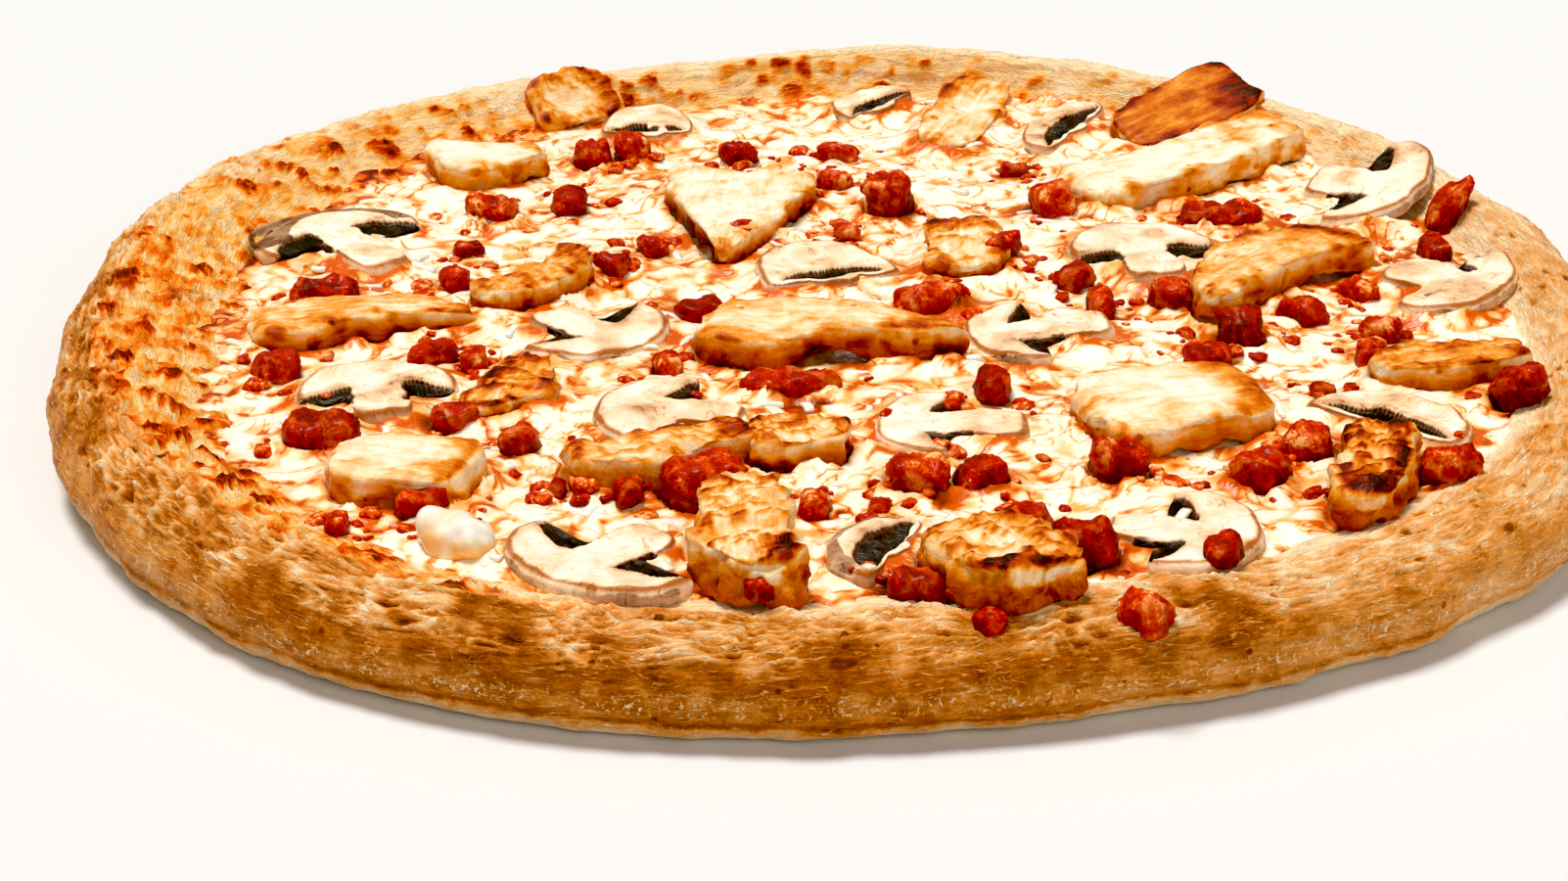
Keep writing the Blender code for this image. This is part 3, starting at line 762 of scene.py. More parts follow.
def build_crust(sizes, colours):
    """The crust: the section's rings pushed out along their normals by swells, strands, pits and blisters."""
    turn = np.linspace(0, 2 * np.pi, CRUST_COLUMNS, endpoint=False)
    angle = turn - CRUST_BUNCHING * np.cos(turn)
    rings, zone = crust_rings(sizes, angle)
    normal = ring_normals(rings)
    steps = np.linalg.norm(np.diff(rings, axis=0, prepend=rings[:1]), axis=-1)
    arc = np.cumsum(steps, axis=0)[..., None]
    directions = ((LEFT_SLOPE_ANGLE, 1.2), (BACK_ANGLE, 1.0), (FRONT_ANGLE, 1.0), (RIGHT_ANGLE, 1.5))
    left, back, front, right = (swell(angle, middle, power)[None, :] for middle, power in directions)
    outside, wall, crest, slope = crust_zones(zone)
    broad, thin, warp = crust_strands(rings, arc)
    pits, blisters = crust_pits(rings, arc, warp)
    patch = smooth_step(-0.75, 0.10, pattern(rings, CRUST_PATCHES))
    patch *= 1 - 0.65 * np.maximum(back, right)
    strands = np.maximum(broad, 0.6 * thin) * patch
    swells = pattern(rings, CRUST_SWELLS)
    lumps = pattern(rings, CRUST_LUMPS)
    height = rings[..., 2] / MM
    lip = np.exp(-((height - LIP_HEIGHT) / 2.2) ** 2) * swell(angle, LIP_ANGLE, 4) * (zone < 0.4)
    groove = np.exp(-((height - GROOVE_HEIGHT) / 0.7) ** 2) * (zone < 0) * (0.3 + 0.7 * front)
    browned = slope * (1.8 * left + 0.9 * back + 0.3 * front)
    browned = browned + 0.7 * crest * smooth_step(0.4, 1.0, left) * (zone > 0.85)
    browned = np.clip(browned, 0, 1) * smooth_step(-0.90, -0.15, pattern(rings, CRUST_BROWNING))

    relief = 1.05 * swells + (0.45 - 0.2 * back) * lumps
    fine_relief = (1 - 0.7 * np.maximum(back, right)) * (0.50 * thin - 1.0 * pits)
    relief += crest * (1.05 * broad * patch + fine_relief)
    relief += wall * (0.12 * strands + 0.12 * lumps) + browned * (0.8 * blisters + 0.6 * lumps)
    relief -= 1.4 * lip + 0.35 * groove
    rings = rings + normal * (relief * outside)[..., None] * MM
    rings[..., 2] = np.maximum(rings[..., 2], 0.0)

    # Paler at the back and the sides and darker at the front: partly the crust's own browning, partly painted
    # light, with the front painted as shaded and the back as lit
    tone = 0.88 * wall + crest * (0.60 - 0.99 * back - 0.04 * left - 0.42 * right)
    tone += 0.25 * slope * (1 - crest) - wall * (0.36 * right + 0.34 * left)
    tone -= 0.13 * wall * smooth_step(14, 8, height)
    tone += wall * (0.12 * swells + 0.14 * lumps) + crest * (0.16 * lumps + 0.12 * swells)
    tone += crest * (0.55 * pits - 0.60 * strands + 0.24) - 0.10 * wall * strands
    # Painted shade: the groove near the base is painted darker, most at the front, as the shadow line under
    # the crust
    tone += 0.16 * groove - 0.20 * (height < 3.6) * (zone < 0)
    tone -= (0.25 + 0.20 * front) * smooth_step(1.25, 1.75, zone) * (zone < 2) + 0.12 * crest * patch * front
    melted = smooth_step(0.10, 0.40, pattern(rings, CRUST_MELTED))
    # The browned patches are paler at the back, partly painted light on the back of the rim
    spotted = 0.44 + 0.40 * lumps + 0.60 * blisters - 0.36 * strands - 0.24 * melted - 0.20 * back
    tone = tone * (1 - browned) + browned * spotted
    tone = np.where(zone <= -0.95, 0.72, tone)

    stops = ((0.0, colours.crust_flour), (0.25, colours.crust_cream), (0.5, colours.crust_tan),
             (0.75, colours.crust_golden), (1.0, colours.crust_brown))
    # glint_band paints pale specks as glints in a band low on the wall
    material = food_material("crust_baked", stops, browned_stops(colours), mottle=(0.30, 3.4, 6.0),
                             grain=(0.14, 0.6), strands=0.26, lines=(-0.50, 3.0, 0.028),
                             spots=(0.30, 5.5, 0.13), glint_band=(5.8, 11.0), roughness=(0.6, 0.42),
                             specular=0.12, bump=0.7)
    fine = np.concatenate([rings[..., :2] / (4.5 * MM), arc / (0.9 * MM)], axis=-1)
    return make_ring_piece("crust_baked", rings, material, (tone, browned, fine), "crust", ["crust"])


def browned_stops(colours):
    """Colours of browned cheese, from pale to darkest."""
    return ((0.0, colours.browned_cream), (0.25, colours.browned_yellow), (0.5, colours.browned_orange),
            (0.75, colours.browned_red), (1.0, colours.browned_dark))


def cheese_disc(sizes):
    """Places on a square grid pressed into a disc with a ragged edge, their angle and share of the radius."""
    side = np.linspace(-1, 1, CHEESE_CELLS)
    u, v = np.meshgrid(side, side, indexing="ij")
    disc_x = u * np.sqrt(1 - v * v / 2)
    disc_y = v * np.sqrt(1 - u * u / 2)
    angle = np.arctan2(disc_y, disc_x)
    part = np.hypot(disc_x, disc_y)
    edge_noise = layered_noise(np.stack([np.cos(angle), np.sin(angle), 0 * angle], axis=-1), 0.14, 51, 3)
    edge = cheese_radius(sizes, angle) + (3.0 + 4.0 * edge_noise + 5 * swell(angle, LEFT_SLOPE_ANGLE, 2)) * MM
    return part * edge * np.cos(angle), part * edge * np.sin(angle), angle, part


def cheese_lift(x, y, base, near_edge, mounds, blobs):
    """Height of the cheese over its base in millimetres: drawn up beside the toppings, and under clear ones.

    Also gives the distance in millimetres to the nearest topping, less than 0 inside its outline.
    """
    toppings = height_map(piece_points(TOPPING_ENDINGS))
    distance, beside = spread(toppings, 6)
    inward, _ = spread(np.where(toppings > 0, 0, 1.0), 6)
    gap = sample(blurred(distance - inward, 3), x, y)
    tall = (sample(blurred(beside, 9), x, y) - base) / MM
    low = smooth_step(6.2, 4.8, tall)
    rise = np.clip(1.2 + low * (tall - 2.6), 0, 2.4)
    hug = rise * np.exp(-(np.maximum(gap, 0) / (2.2 + 1.6 * low)) ** 2) * (1 - 0.6 * near_edge)
    free = smooth_step(0.0, 4.0, gap)
    lift = 0.7 + hug + (0.9 * mounds + 1.4 * blobs) * (0.2 + 0.8 * free)
    over = tall - 0.9 + 1.7 * pattern(np.stack([x, y, 0 * x], axis=-1), CHEESE_DRIPS)
    under = -1.5 + low * (over + 1.5) * smooth_step(-4.0, -1.5, gap)
    under_share = smooth_step(0.4, -1.4, gap)
    return lift * (1 - under_share) + under * under_share, gap


def closed_sheet(top, count, level):
    """Closes a square grid of points: a skirt down to a level, drawn in a little, and a fan underneath."""
    index = np.arange(count * count).reshape(count, count)
    quads = np.stack([index[:-1, :-1], index[1:, :-1], index[1:, 1:], index[:-1, 1:]], axis=-1).reshape(-1, 4)
    loop = np.concatenate([index[:-1, 0], index[-1, :-1], index[:0:-1, -1], index[0, :0:-1]])
    below = top[loop] * (0.985, 0.985, 0) + (0, 0, level)
    first = count * count + np.arange(len(loop))
    following = np.roll(np.arange(len(loop)), -1)
    skirt = np.stack([loop, first, first[following], loop[following]], axis=-1)
    fan = np.stack([np.full(len(loop), count * count + len(loop)), first[following], first], axis=-1)
    return np.concatenate([top, below, [(0, 0, level)]]), np.concatenate([quads, skirt]), fan


def build_cheese(sizes, colours):
    """The cheese: a disc's height field with melted mounds, drawn up by the toppings and thin up the rim."""
    x, y, angle, part = cheese_disc(sizes)
    flat = np.stack([x, y, 0 * x], axis=-1)
    near_edge = smooth_step(0.90, 1.0, part)
    blobs = np.abs(pattern(flat, CHEESE_BLOBS))
    base = support_height(sizes, x, y)
    lift, gap = cheese_lift(x, y, base, near_edge, pattern(flat, CHEESE_MOUNDS), blobs)
    z = base + lift * MM * (1 - 0.75 * near_edge) - 2.6 * MM * smooth_step(0.985, 1.0, part)
    top = np.stack([x, y, z], axis=-1).reshape(-1, 3)
    points, quads, triangles = closed_sheet(top, CHEESE_CELLS, sizes.floor_height + 1 * MM)
    hollow = 1 - smooth_step(0.03, 0.30, blobs)
    stain = smooth_step(-0.25, 0.35, pattern(flat, CHEESE_STAINS))
    golden = smooth_step(-0.10, 0.50, pattern(flat, CHEESE_GOLDEN))
    grease = bacon_grease(x, y)
    left = swell(angle, 150, 1)
    tone = 0.02 + 0.22 * hollow + 0.34 * stain * hollow + 0.42 * grease * (0.3 + hollow) + 0.15 * golden
    # Painted shade: the cheese darkens beside every topping as a painted contact shadow, more where it is
    # stained
    tone += 0.48 * np.exp(-(np.maximum(gap, 0) / 3.0) ** 2) * (0.25 + 0.75 * stain)
    tone += 0.30 * smooth_step(0.78, 0.98, part) * left * (0.3 + stain)
    blend = near_edge * (0.30 + 0.5 * left) + 0.95 * grease * stain * (0.35 + 0.65 * hollow)
    extra = len(points) - tone.size
    fields = (np.append(tone, np.full(extra, 0.3)), np.append(blend, np.zeros(extra)), points / (3 * MM))
    stops = ((0.0, colours.cheese_white), (0.25, colours.cheese_cream), (0.5, colours.cheese_tan),
             (0.8, colours.cheese_orange))
    material = food_material("cheese_melted", stops, browned_stops(colours), mottle=(0.34, 8.0, 2.0),
                             grain=(0.02, 0.9), strands=0.08, lines=(0.50, 14.0, 0.045),
                             roughness=(0.42, 0.2), specular=0.3, coat=0.15, subsurface=0.05, bump=0.28)
    return make_piece("cheese_melted", points, quads, triangles, material, fields, "cheese", ["cheese"])


def block_rings(length, width, height, grid, bluntness, square, taper=0.0, bend=0.0, ends=6):
    """A block about the origin: superellipse sections along X, evenly spaced in angle, drawn in at both ends.

    Sizes are in millimetres. Gives its rings in metres and, on the same grid, each point's share of the way
    along, across and up, from -1 to 1.
    """
    stations, sides = grid
    station = np.cos(np.linspace(np.pi, 0, stations + 2))[1:-1][:, None]
    turn = np.linspace(0, 2 * np.pi, sides, endpoint=False)[None, :]
    fullness = (1 - np.abs(station) ** square) ** (1 / square)
    power = 2 / bluntness
    reach = (np.abs(np.cos(turn)) ** power + np.abs(np.sin(turn)) ** power) ** (-1 / power)
    across = reach * np.cos(turn)
    upward = reach * np.sin(turn)
    x = length / 2 * station + 0 * turn
    y = width / 2 * (1 - taper * (station + 1) / 2) * fullness * across + bend * (2 * station ** 2 - 1)
    z = height / 2 * np.sqrt(1 - np.abs(station) ** ends) * upward
    return np.stack([x, y, z], axis=-1) * MM, station + 0 * turn, across + 0 * station, upward + 0 * station


def build_chicken(sizes, piece, material, seed):
    """A chicken piece: a block with a flat fibrous face, roasted rim and sides, the sides darker lower down
    from roasting and painted shade, and folds where crisp.
    """
    size = (piece.length, 1.06 * piece.width, 0.88 * piece.height)
    shape = (0.26, piece.square, piece.taper, piece.bend, 16)
    rings, along, across, up = block_rings(*size, CHICKEN_GRID, *shape)
    normal = ring_normals(rings)
    shifted = rings + seed * 0.0137
    outline = layered_noise(shifted * (1, 1, 0.3), 13 * MM, seed + 5, 4)
    strand = shifted / (np.array((8.0, 1.2, 2.0)) * MM)
    fibres = gradient_noise(strand, 1.0, seed)
    lumps = layered_noise(shifted, 8 * MM, seed + 1, 3)
    creases = 1 - 2.4 * np.abs(layered_noise(shifted, 7 * MM, seed + 2, 3))
    top = smooth_step(0.35, 0.80, normal[..., 2])
    relief = 0.25 * lumps + (2.7 * outline + 0.6 * lumps) * (1 - 0.9 * top) + 0.22 * fibres * top
    relief += piece.crisp * (0.9 * lumps + 1.1 * np.clip(creases, -0.6, 1) - 0.3)
    rings = rings + normal * relief[..., None] * MM
    rings[..., 2] += 1.2 * MM * gradient_noise(shifted * (1, 1, 0), 18 * MM, seed + 7)
    inset = np.minimum((1 - np.abs(across)) * piece.width, (1 - np.abs(along)) * piece.length) / 2
    rim = np.exp(-np.maximum(inset, 0) / (1.7 + 2.5 * piece.crisp)) * smooth_step(-0.8, 0.2, outline + 0.3)
    scorch = smooth_step(-0.1, 0.55, layered_noise(shifted, 5 * MM, seed + 4, 3))
    pale = smooth_step(0.25, 0.6, gradient_noise(strand * (0.6, 0.7, 0.7), 1.0, seed + 6))
    face = piece.top + 0.12 * fibres + 0.14 * lumps - 0.14 * pale + rim * (0.18 + 0.42 * scorch)
    face += piece.crisp * (0.32 * (creases > 0.7) + 0.18 * scorch - 0.05)
    face += 0.36 * smooth_step(0.30, 0.90, along + 0.5 * outline)
    # The sides darken towards the bottom: partly roasting, partly painted shade low on the sides
    low = smooth_step(1.0, -0.4, up)
    sides = 0.31 + 0.54 * piece.side * low + 0.24 * (scorch - 0.4) + 0.18 * lumps
    tone = face * top + sides * (1 - top)
    pitch = np.radians(piece.pitch)
    tilted = rings[..., 1] * np.cos(pitch) - rings[..., 2] * np.sin(pitch)
    raised = rings[..., 1] * np.sin(pitch) + rings[..., 2] * np.cos(pitch)
    rings = turned(np.stack([rings[..., 0], tilted, raised], axis=-1), piece.heading)
    rings = set_down(sizes, rings, piece.name, SUPPORT_SINK["chicken"])
    fields = (tone, 0 * tone, strand)
    return make_ring_piece(piece.name + "_cooked", rings, material, fields, "chicken", [piece.name])


def mushroom_outline(piece, angle):
    """Radius of a mushroom slice's outline: the larger of a half-round cap and a straight stem."""
    side = np.cos(angle)
    up = np.sin(angle)
    cap = 1 / np.sqrt((side / (piece.cap_width / 2)) ** 2 + (up / piece.cap_height) ** 2)
    notch = piece.stem_width * 0.62
    cap = notch + (cap - notch) * smooth_step(-0.45, -0.12, up)
    flank = piece.stem_width / 2 / np.maximum(np.abs(side), 1e-6)
    end = piece.stem_length / np.maximum(-up, 1e-6)
    stem = np.where(up < -0.3, (flank ** -6 + end ** -6) ** (-1 / 6), 0)
    return np.maximum(cap, stem)


def build_mushroom(sizes, piece, material, seed):
    """A mushroom slice: its outline drawn in to a middle point over and under, with sunken ribbed gills."""
    angle = np.linspace(0, 2 * np.pi, MUSHROOM_COLUMNS, endpoint=False)
    wobble = layered_noise(np.stack([np.cos(angle), np.sin(angle), 0 * angle + seed], axis=-1), 0.7, seed, 2)
    outline = mushroom_outline(piece, angle) * (1 + 0.06 * wobble)
    edge = np.linspace(0.3, np.pi - 0.1, 14)
    under = np.linspace(0.15, 0.86, 6)
    over = np.linspace(0.88, 0.03, 40)
    inward = np.concatenate([under, 0.88 + 0.12 * np.sin(edge), over])[:, None]
    level = np.concatenate([0 * under, 0.5 - 0.5 * np.cos(edge), 0 * over + 1])[:, None]
    x = outline * inward * np.cos(angle)
    y = outline * inward * np.sin(angle)
    upper = smooth_step(0.7, 1.0, level)
    flat = np.stack([x, y, 0 * x + 31 * seed], axis=-1)
    half_cap = piece.cap_width / 2
    whole = piece.stem_length > 6
    rough = layered_noise(flat, 5.0, seed + 3, 2)
    ribs = 0.5 + 0.5 * np.sin(2 * np.pi * x / 0.95 + 2.5 * rough)
    span = np.clip(1 - ((np.abs(x) + 1.2 * rough) / (0.86 * half_cap)) ** 2, 0, 1)
    gill_top = (0.85 * piece.gill + 1.1 * rough + 0.14 * ribs) * span ** 0.6 - 2.4 * (1 - span)
    beside_stem = smooth_step(piece.stem_width * 0.34, piece.stem_width * 0.50, np.abs(x) + 1.0 * rough)
    middle = beside_stem if whole else 1.0
    floor = -8.0 if whole else -2.0 + 0.8 * rough
    below_top = 1 - smooth_step(gill_top - 0.4, gill_top + 0.3, y)
    band = smooth_step(floor, floor + 0.8, y) * below_top * (span > 0)
    side = np.where(x > 0, piece.right, piece.left)
    torn = smooth_step(0.0, 0.35, side + 0.45 * layered_noise(flat, 6.0, seed + 4, 2) - 0.25)
    gills = band * middle * torn * (level > 0.6)
    dents = layered_noise(flat, 9.0, seed + 2, 3)
    stem = smooth_step(-1.0, -4.0, y) * (np.abs(x) < piece.stem_width * 0.7)
    z = 4.6 * level + upper * (0.7 * dents - 1.3 * gills + 0.45 * ribs * gills)
    z += upper * 0.6 * stem * (1 - (x / (piece.stem_width * 0.6)) ** 2)
    z += piece.curl * (x / half_cap) ** 2 * smooth_step(-0.5, 0.3, y / piece.cap_height)
    tipped = 1 + 1.2 * smooth_step(0.1, -0.9, x / half_cap)
    band_width = 0.03 + 0.26 * smooth_step(0.5, 1.0, piece.skin) * tipped
    outward = np.clip((inward - 1 + band_width) / band_width, 0, 1)
    z -= 9 * band_width * upper * outward ** 2 * smooth_step(0, 3, y)
    rings = turned(np.stack([x, y, z], axis=-1) * MM, piece.dome - 90)
    skin = smooth_step(1.0 - band_width, 1.03 - band_width, inward + 0.03 * dents) * smooth_step(0.5, 3.0, y)
    blend = np.maximum(1.3 * gills, 0.9 * skin)
    flesh = 0.15 + 0.28 * dents + 0.14 * stem * smooth_step(0.0, 0.3, rough)
    flesh = flesh + 0.35 * smooth_step(0.9, 0.3, level)
    flesh += 0.95 * np.exp(-((inward - 0.935) / 0.035) ** 2) * (level > 0.5)
    flesh += 0.30 * smooth_step(0.05, 0.6, layered_noise(flat, 11.0, seed + 6, 2))
    flesh += 0.30 * np.exp(-((y - gill_top - 0.7) / 0.8) ** 2) * middle * (span > 0)
    inner = smooth_step(0.5, 1.0, gills) * smooth_step(0.3, 1.2, np.abs(gill_top - y))
    skin_tone = 0.02 + 0.30 * piece.skin ** 2 + 0.25 * dents
    dark = np.where(gills > 0.3, 0.50 + 0.25 * ribs + 0.45 * inner, skin_tone)
    tone = np.where(blend > 0.45, dark, flesh)
    strand = np.stack([x / 0.8, y / 5.0, z / 2.0], axis=-1) + seed
    rings = set_down(sizes, rings, piece.name, SUPPORT_SINK["mushroom"])
    fields = (tone, blend, strand)
    return make_ring_piece(piece.name + "_sliced", rings, material, fields, "mushroom", [piece.name])


def bacon_fat(points, seed):
    """1 in the fat and 0 in the meat, which lie in wavy layers across a random direction."""
    draw = np.random.default_rng(seed)
    direction = draw.normal(size=3)
    direction /= np.linalg.norm(direction)
    bend = layered_noise(points, 6 * MM, seed, 2)
    phase = 2 * np.pi * (points @ direction) / (draw.uniform(8, 12) * MM)
    return smooth_step(0.55, 0.9, np.sin(phase + 2.2 * bend + draw.uniform(0, 6)))


def bacon_surface(length, width, height, grid, seed):
    """A bacon piece about the origin: a block of pressed granules, with its meat and fat."""
    rings, _, _, up = block_rings(length, width, height, grid, 0.6, 3.2)
    shifted = rings + seed * 0.0211
    scale = min(length, width, height) / 9
    lumps = layered_noise(shifted, 5.5 * scale * MM, seed, 3)
    near, second, number = cell_noise(shifted, 2.4 * scale ** 0.6 * MM, seed + 1)
    seams = 1 - smooth_step(0.0, 0.20, second - near)
    relief = scale * (1.3 * lumps + 0.5 * number - 0.40 * seams - 0.1)
    rings = rings + ring_normals(rings) * relief[..., None] * MM
    blend = 0.45 * bacon_fat(shifted, seed)
    tone = 0.42 + 0.42 * (number - 0.5) - 0.22 * lumps + 0.20 * seams + 0.34 * smooth_step(0.7, -0.5, up)
    tone += 0.16 * np.sin(1.7 * seed)
    return rings, (tone - 0.1 * blend, blend, shifted / (2.5 * MM))


def build_bacon(sizes, piece, material, seed):
    """A large bacon piece set down on its node."""
    rings, fields = bacon_surface(piece.length, piece.width, piece.height, BACON_GRID, seed)
    rings = set_down(sizes, turned(rings, piece.heading), piece.name, SUPPORT_SINK["bacon"])
    return make_ring_piece(piece.name + "_fried", rings, material, fields, "bacon", [piece.name])


def join_rings(parts):
    """Joins several (rings, fields) surfaces into one set of points, quads, triangles and fields."""
    points, quads, triangles, fields = [], [], [], []
    start = 0
    for rings, part_fields in parts:
        faces, caps = ring_faces(rings.shape[0], rings.shape[1])
        closed = close_rings(rings)
        points.append(closed)
        quads.append(faces + start)
        triangles.append(caps + start)
        fields.append(close_fields(part_fields))
        start += len(closed)
    joined = tuple(np.concatenate(group) for group in zip(*fields))
    return np.concatenate(points), np.concatenate(quads), np.concatenate(triangles), joined


def build_bacon_bits(sizes, surface, material):
    """Small bits of bacon: the table's bits and, round them and the large pieces, flat flecks at random."""
    draw = np.random.default_rng(61)
    bits = [(x, y, width, 0.75) for x, y, width in BACON_BITS]
    sources = list(BACON_BITS)
    sources += [(*(value / MM for value in node_centre(piece.name)[:2]), piece.length) for piece in BACON]
    farthest = sizes.mean_radius - 2 * sizes.crest_inset
    for x, y, width in sources * FLECKS_EACH:
        away = draw.uniform(0.5, 1.5) * width
        heading = draw.uniform(0, 2 * np.pi)
        size = 1.6 + 4.2 * draw.uniform() ** 2
        place = (x + away * np.cos(heading), y + away * np.sin(heading))
        metres = (place[0] * MM, place[1] * MM)
        over = sample(surface, *metres) - support_height(sizes, *metres)
        if np.hypot(*place) * MM < farthest and over < 3.5 * MM:
            bits.append((*place, size, 0.5))
    parts = []
    for index, (x, y, width, thickness) in enumerate(bits):
        grid = BIT_GRID if width > 5.5 else FLECK_GRID
        size = width * draw.uniform(0.85, 1.15, 3) * (1.05, 0.75, thickness)
        rings, (tone, blend, strand) = bacon_surface(*size, grid, BIT_SEED + index)
        rings = turned(rings, draw.uniform(0, 360)) + np.array((x, y, 0)) * MM
        level = min(sample(surface, x * MM, y * MM), support_height(sizes, x * MM, y * MM) + 4 * MM)
        rings[..., 2] += level + (thickness - 0.62) * size[2] * MM
        tone = tone - (0.15 if thickness < 0.6 else 0.0)
        parts.append((rings, (tone, blend, strand)))
    points, quads, triangles, fields = join_rings(parts)
    return make_piece("bacon_bits", points, quads, triangles, material, fields, "bacon")


def build_shreds(sizes, surface, material):
    """Half-melted shreds of cheese: short bent sticks in loose clusters, draped over what lies under them."""
    draw = np.random.default_rng(71)
    turn = draw.uniform(0, 2 * np.pi, SHRED_TRIES)
    radius = (cheese_radius(sizes, turn) - 1 * MM) * np.sqrt(draw.uniform(0, 1, SHRED_TRIES))
    places = np.stack([radius * np.cos(turn), radius * np.sin(turn), 0 * turn], axis=-1)
    ground = support_height(sizes, places[:, 0], places[:, 1])
    over = sample(surface, places[:, 0], places[:, 1]) - ground
    clear = over < draw.uniform(1.5, 4.0, SHRED_TRIES) * MM
    clustered = pattern(places, SHRED_CLUSTERS) > draw.uniform(0.0, 0.9, SHRED_TRIES)
    parts = []
    for x, y, _ in places[clear & clustered]:
        length = draw.uniform(3.0, 8.5)
        width = draw.uniform(1.2, 2.2)
        bend = draw.uniform(-0.3, 0.3)
        rings, along, _, _ = block_rings(length, width, 0.6 * width, SHRED_GRID, 0.35, 7.0, 0, bend)
        rings = turned(rings, draw.uniform(0, 360)) + np.array((x, y, 0))
        middle = rings.mean(axis=1)
        level = sample(surface, middle[:, 0], middle[:, 1])
        if np.ptp(level) > 1.8 * MM:
            continue
        level = np.maximum(0.6 * level.mean() + 0.4 * level, level.mean())
        rings[..., 2] += level[:, None] + draw.uniform(-0.7, 0.1) * MM
        tone = draw.uniform(0.0, 0.22) + 0 * along
        parts.append((rings, (tone, 0 * along, rings / (3 * MM))))
    points, quads, triangles, fields = join_rings(parts)
    return make_piece("cheese_shreds", points, quads, triangles, material, fields, "cheese")


def build_cheese_lump(sizes, material):
    """The glossy lump of cheese by the front left edge: pearly on top, golden below partly from browning and
    partly as painted shade.
    """
    piece = CHEESE_LUMP
    rings, _, _, up = block_rings(1.12 * piece.length, 1.1 * piece.width, piece.height, BACON_GRID, 0.95, 2.2)
    relief = 1.7 * layered_noise(rings + 0.3, 6 * MM, 81, 2)
    rings = rings + ring_normals(rings) * relief[..., None] * MM
    # Darker and golden towards the bottom: partly browned cheese, partly painted shade on the underside
    tone = 0.22 + 0.44 * layered_noise(rings, 5 * MM, 82, 2) + 0.60 * smooth_step(0.9, -0.1, up)
    strand = rings / (3 * MM)
    rings = set_down(sizes, turned(rings, piece.heading), piece.name, SUPPORT_SINK["cheese_lump"])
    fields = (tone, 0 * tone, strand)
    return make_ring_piece("cheese_lump_melted", rings, material, fields, "cheese_lump", [piece.name])


def title(key):
    """A setting's name in words."""
    return key.replace("_", " ").capitalize()


def colour_property(key, description, srgb):
    """A colour property whose default is given as sRGB of 0 to 255."""
    return bpy.props.FloatVectorProperty(name=title(key), description=description, subtype="COLOR", size=3,
                                         min=0, max=1, default=linear(srgb))


def length_property(key, description, millimetres):
    """A length property whose default is given in millimetres."""
    return bpy.props.FloatProperty(name=title(key), description=description, default=millimetres * MM,
                                   unit="LENGTH")


# Driving sizes: what each is, and its default in millimetres
SIZES = {
    "mean_radius": ("Mean radius of the crust at its widest", 174.5),
    "belly_height": ("Height at which the crust is widest", 8.5),
    "undercut": ("How far the crust draws in down to the underside", 5.5),
    "rim_height": ("Mean height of the crust's crest", 20.5),
    "crest_inset": ("Distance from the widest radius in to the crest", 13.0),
    "slope_width": ("Least width of the rim's inner slope", 10.5),
    "left_slope_extra": ("Added width of the inner slope on the left", 18.0),
    "front_slope_extra": ("Added width of the inner slope at the front", 5.5),
    "ledge_height": ("Height where the inner slope meets the cheese", 14.5),
    "floor_height": ("Height of the crust's floor under the cheese", 6.5),
    "cheese_level": ("Mean height of the cheese", 13.0),
}

# Colours: what each is, and its default as sRGB of 0 to 255
COLOURS = {
    "crust_flour": ("Floury strands of the crust", (255, 224, 178)),
    "crust_cream": ("Pale baked crust", (242, 184, 122)),
    "crust_tan": ("Tan crust", (224, 142, 60)),
    "crust_golden": ("Golden crust", (170, 86, 12)),
    "crust_brown": ("Browned crust", (108, 38, 1)),
    "browned_cream": ("Palest browned cheese", (254, 209, 148)),
    "browned_yellow": ("Yellow browned cheese", (250, 170, 66)),
    "browned_orange": ("Orange browned cheese", (236, 104, 14)),
    "browned_red": ("Red-brown blisters", (180, 38, 2)),
    "browned_dark": ("Darkest blisters", (90, 8, 1)),
    "cheese_white": ("Palest cheese", (255, 251, 238)),
    "cheese_cream": ("Creamy cheese", (254, 238, 204)),
    "cheese_tan": ("Oily cheese", (248, 186, 100)),
    "cheese_orange": ("Browned cheese", (218, 88, 12)),
    "chicken_white": ("Palest cut face of the chicken", (254, 244, 222)),
    "chicken_cream": ("Cream cut face", (250, 216, 162)),
    "chicken_golden": ("Golden edges", (241, 155, 52)),
    "chicken_orange": ("Roasted edges", (208, 98, 8)),
    "chicken_brown": ("Roasted sides", (156, 28, 2)),
    "chicken_dark": ("Darkest roasted spots", (50, 2, 0)),
    "mushroom_white": ("Flesh of the mushrooms", (255, 245, 226)),
    "mushroom_cream": ("Baked flesh", (250, 211, 165)),
    "mushroom_tan": ("Darkest flesh", (176, 98, 42)),
    "skin_pale": ("Palest skin of the caps", (218, 178, 138)),
    "skin_brown": ("Brown skin", (142, 94, 64)),
    "gill_brown": ("Brown gills", (70, 26, 8)),
    "gill_black": ("Darkest gills", (10, 2, 1)),
    "meat_orange": ("Palest fried meat", (236, 92, 16)),
    "meat_red": ("Fried meat", (192, 24, 2)),
    "meat_dark": ("Dark fried meat", (150, 8, 1)),
    "meat_black": ("Darkest cracks", (96, 3, 1)),
    "fat_pale": ("Palest fat", (255, 190, 116)),
    "fat_tan": ("Fried fat", (232, 112, 30)),
}


class PizzaSizes(bpy.types.PropertyGroup):
    """Driving sizes of the pizza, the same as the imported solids'."""
    __annotations__ = {key: length_property(key, *row) for key, row in SIZES.items()}


class PizzaColours(bpy.types.PropertyGroup):
    """Colours of the pizza, from the palest to the darkest tone of each food."""
    __annotations__ = {key: colour_property(key, *row) for key, row in COLOURS.items()}


def scene_settings():
    """The pizza's sizes and colours."""
    scene = bpy.context.scene
    return scene.pizza_sizes, scene.pizza_colours


class PIZZA_OT_crust(bpy.types.Operator):
    """Make the baked crust"""
    bl_idname = "pizza.crust"
    bl_label = "Crust"

    def execute(self, context):
        build_crust(*scene_settings())
        return {"FINISHED"}


